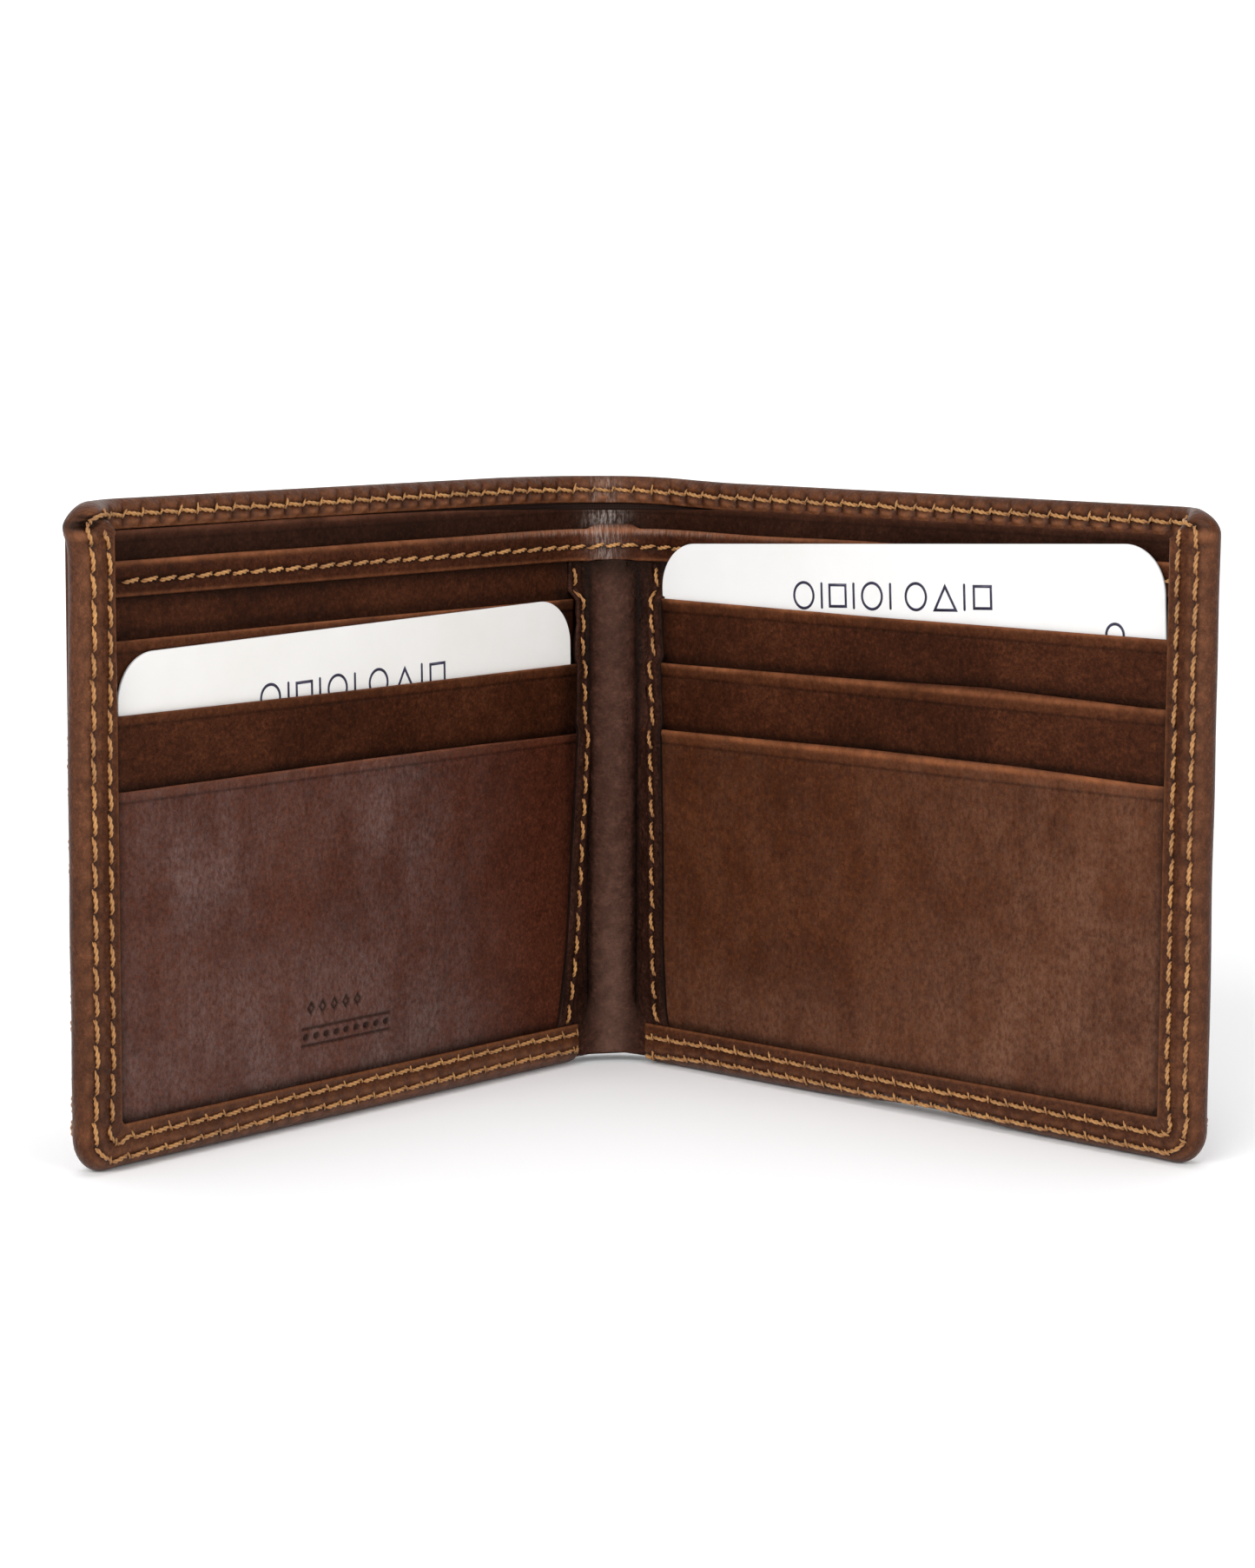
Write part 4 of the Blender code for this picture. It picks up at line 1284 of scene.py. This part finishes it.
def mark_row(start, b, direction, stretch):
    """A plain row of rings, bars, a triangle and squares."""
    bars, outlines = [], []
    at = 0.0
    for kind, gap in (("ring", 1.2), ("bar", 1.2), ("square", 1.2), ("bar", 1.2), ("ring", 1.2), ("bar", 2.5),
                      ("ring", 1.4), ("triangle", 1.4), ("bar", 1.4), ("square", 0.0)):
        width = {"ring": 4.2, "bar": STROKE, "square": 3.4, "triangle": 3.9}[kind]
        a = start + direction * stretch * (at + width / 2)
        if kind == "bar":
            bars.append((a, b, STROKE / 2, 1.95))
        elif kind == "ring":
            outlines.append((a, b, 30, 1.9, 0.0))
        elif kind == "square":
            outlines.append((a, b, 4, 2.2, 45.0))
        else:
            outlines.append((a, b - 0.75, 3, 2.25, 90.0))
        at += width + gap
    return bars, outlines


# where the cards' centres are as (u, v, tilt), the depth of their backs and their thickness
LEFT_CARD, LEFT_M = (54.1, 41.95, -1.25), 4.3
RIGHT_CARD, RIGHT_M = (55.85, 53.5, 2.75), 3.38
CARD_T = 0.42
build_card(-1, LEFT_CARD, LEFT_M, CARD_T, CARD_L, "left_card")
build_card(1, RIGHT_CARD, RIGHT_M, CARD_T, CARD_R, "right_card")
bars, outlines = mark_row(-20.5, 21.2, 1, 1.0)
outlines.append((38.8, 16.3, 30, 1.5, 0.0))
printed(1, RIGHT_CARD, RIGHT_M + CARD_T - 0.005, "right_card_print", bars, outlines, "right_card")
bars, outlines = mark_row(20.4, 20.1, -1, 1.035)
printed(-1, LEFT_CARD, LEFT_M + CARD_T - 0.005, "left_card_print", bars, outlines, "left_card")

# ---------------- floor, camera, light
def build_stage():
    """A plain pale floor that curves up behind the wallet, and a white surround."""
    profile = [(-3.0, 0.0), (1.2, 0.0)]
    for a in np.radians(np.linspace(7.5, 90, 12)):
        profile.append((1.2 + 0.9 * math.sin(a), 0.9 - 0.9 * math.cos(a)))
    profile.append((2.1, 3.5))
    verts, faces = [], []
    for y, z in profile:
        verts += [(-3.5, y, z), (3.5, y, z)]
    for k in range(0, 2 * len(profile) - 2, 2):
        faces.append((k, k + 1, k + 3, k + 2))
    mesh = bpy.data.meshes.new("floor_sweep")
    mesh.from_pydata(verts, [], faces)
    mesh.polygons.foreach_set("use_smooth", [True] * len(faces))
    floor = add_to_scene("floor_sweep", mesh)
    mat, nt, bsdf = new_material("pale_floor")
    white = (1.0, 1.0, 1.0, 1.0)
    put(bsdf, Base_Color=(0.95, 0.95, 0.955, 1), Roughness=0.9, Specular_IOR_Level=0.1, Emission_Color=white)
    # the floor glows more away from the wallet, so that it reads as plain white
    away = node(nt, "ShaderNodeVectorMath", operation="LENGTH")
    link(nt, node(nt, "ShaderNodeTexCoord").outputs["Object"], away.inputs[0])
    link(nt, remap(nt, away.outputs["Value"], 0.2, 1.5, 0.02, 0.5), bsdf.inputs["Emission Strength"])
    mesh.materials.append(mat)

    # a plain white surround that only the camera sees
    body = bmesh.new()
    bmesh.ops.create_uvsphere(body, u_segments=48, v_segments=24, radius=8.0)
    mesh = bpy.data.meshes.new("surround")
    body.to_mesh(mesh)
    body.free()
    surround = add_to_scene("surround", mesh)
    mat, nt, bsdf = new_material("surround_white")
    put(bsdf, Base_Color=(0.0, 0.0, 0.0, 1), Emission_Color=white, Emission_Strength=1.0)
    mesh.materials.append(mat)
    for ray in ("diffuse", "glossy", "transmission", "volume_scatter", "shadow"):
        setattr(surround, "visible_" + ray, False)


build_stage()

camera_data = bpy.data.cameras.new("camera")
camera = add_to_scene("camera", camera_data)
bpy.context.scene.camera = camera
camera_data.sensor_width = 36.0
camera_data.sensor_fit = "HORIZONTAL"
camera_data.lens = 114.6
camera_data.clip_start = 0.01
camera_data.clip_end = 20.0
pitch = math.radians(7.15)
look = Vector((0.0583 * math.cos(pitch), 0.9983 * math.cos(pitch), -math.sin(pitch)))
camera.location = (-33.07 * MM, (AXIS_Y - 607.93) * MM, 119.2 * MM)
camera.rotation_mode = "QUATERNION"
camera.rotation_quaternion = look.to_track_quat("-Z", "Y") @ Matrix.Rotation(math.radians(0.23), 3, "Z").to_quaternion()

world = bpy.data.worlds.new("studio")
bpy.context.scene.world = world
world.use_nodes = True
put(world.node_tree.nodes["Background"], Color=(1.0, 1.0, 1.0, 1.0), Strength=0.4)


def area_light(name, where, target, size_xy, watts):
    data = bpy.data.lights.new(name, "AREA")
    data.shape = "RECTANGLE"
    data.size, data.size_y = size_xy
    data.energy = watts
    obj = add_to_scene(name, data)
    obj.location = where
    obj.rotation_mode = "QUATERNION"
    obj.rotation_quaternion = (Vector(target) - Vector(where)).to_track_quat("-Z", "Y")


area_light("key", (-0.75, -1.3, 0.85), (0, 0, 0.04), (1.1, 0.8), 22.0)
area_light("fill", (0.9, -1.2, 0.5), (0, 0, 0.04), (0.8, 0.8), 9.0)
area_light("top", (0.0, 0.1, 1.4), (0, 0, 0.0), (1.4, 1.0), 6.0)
bpy.context.scene.view_settings.view_transform = "Standard"
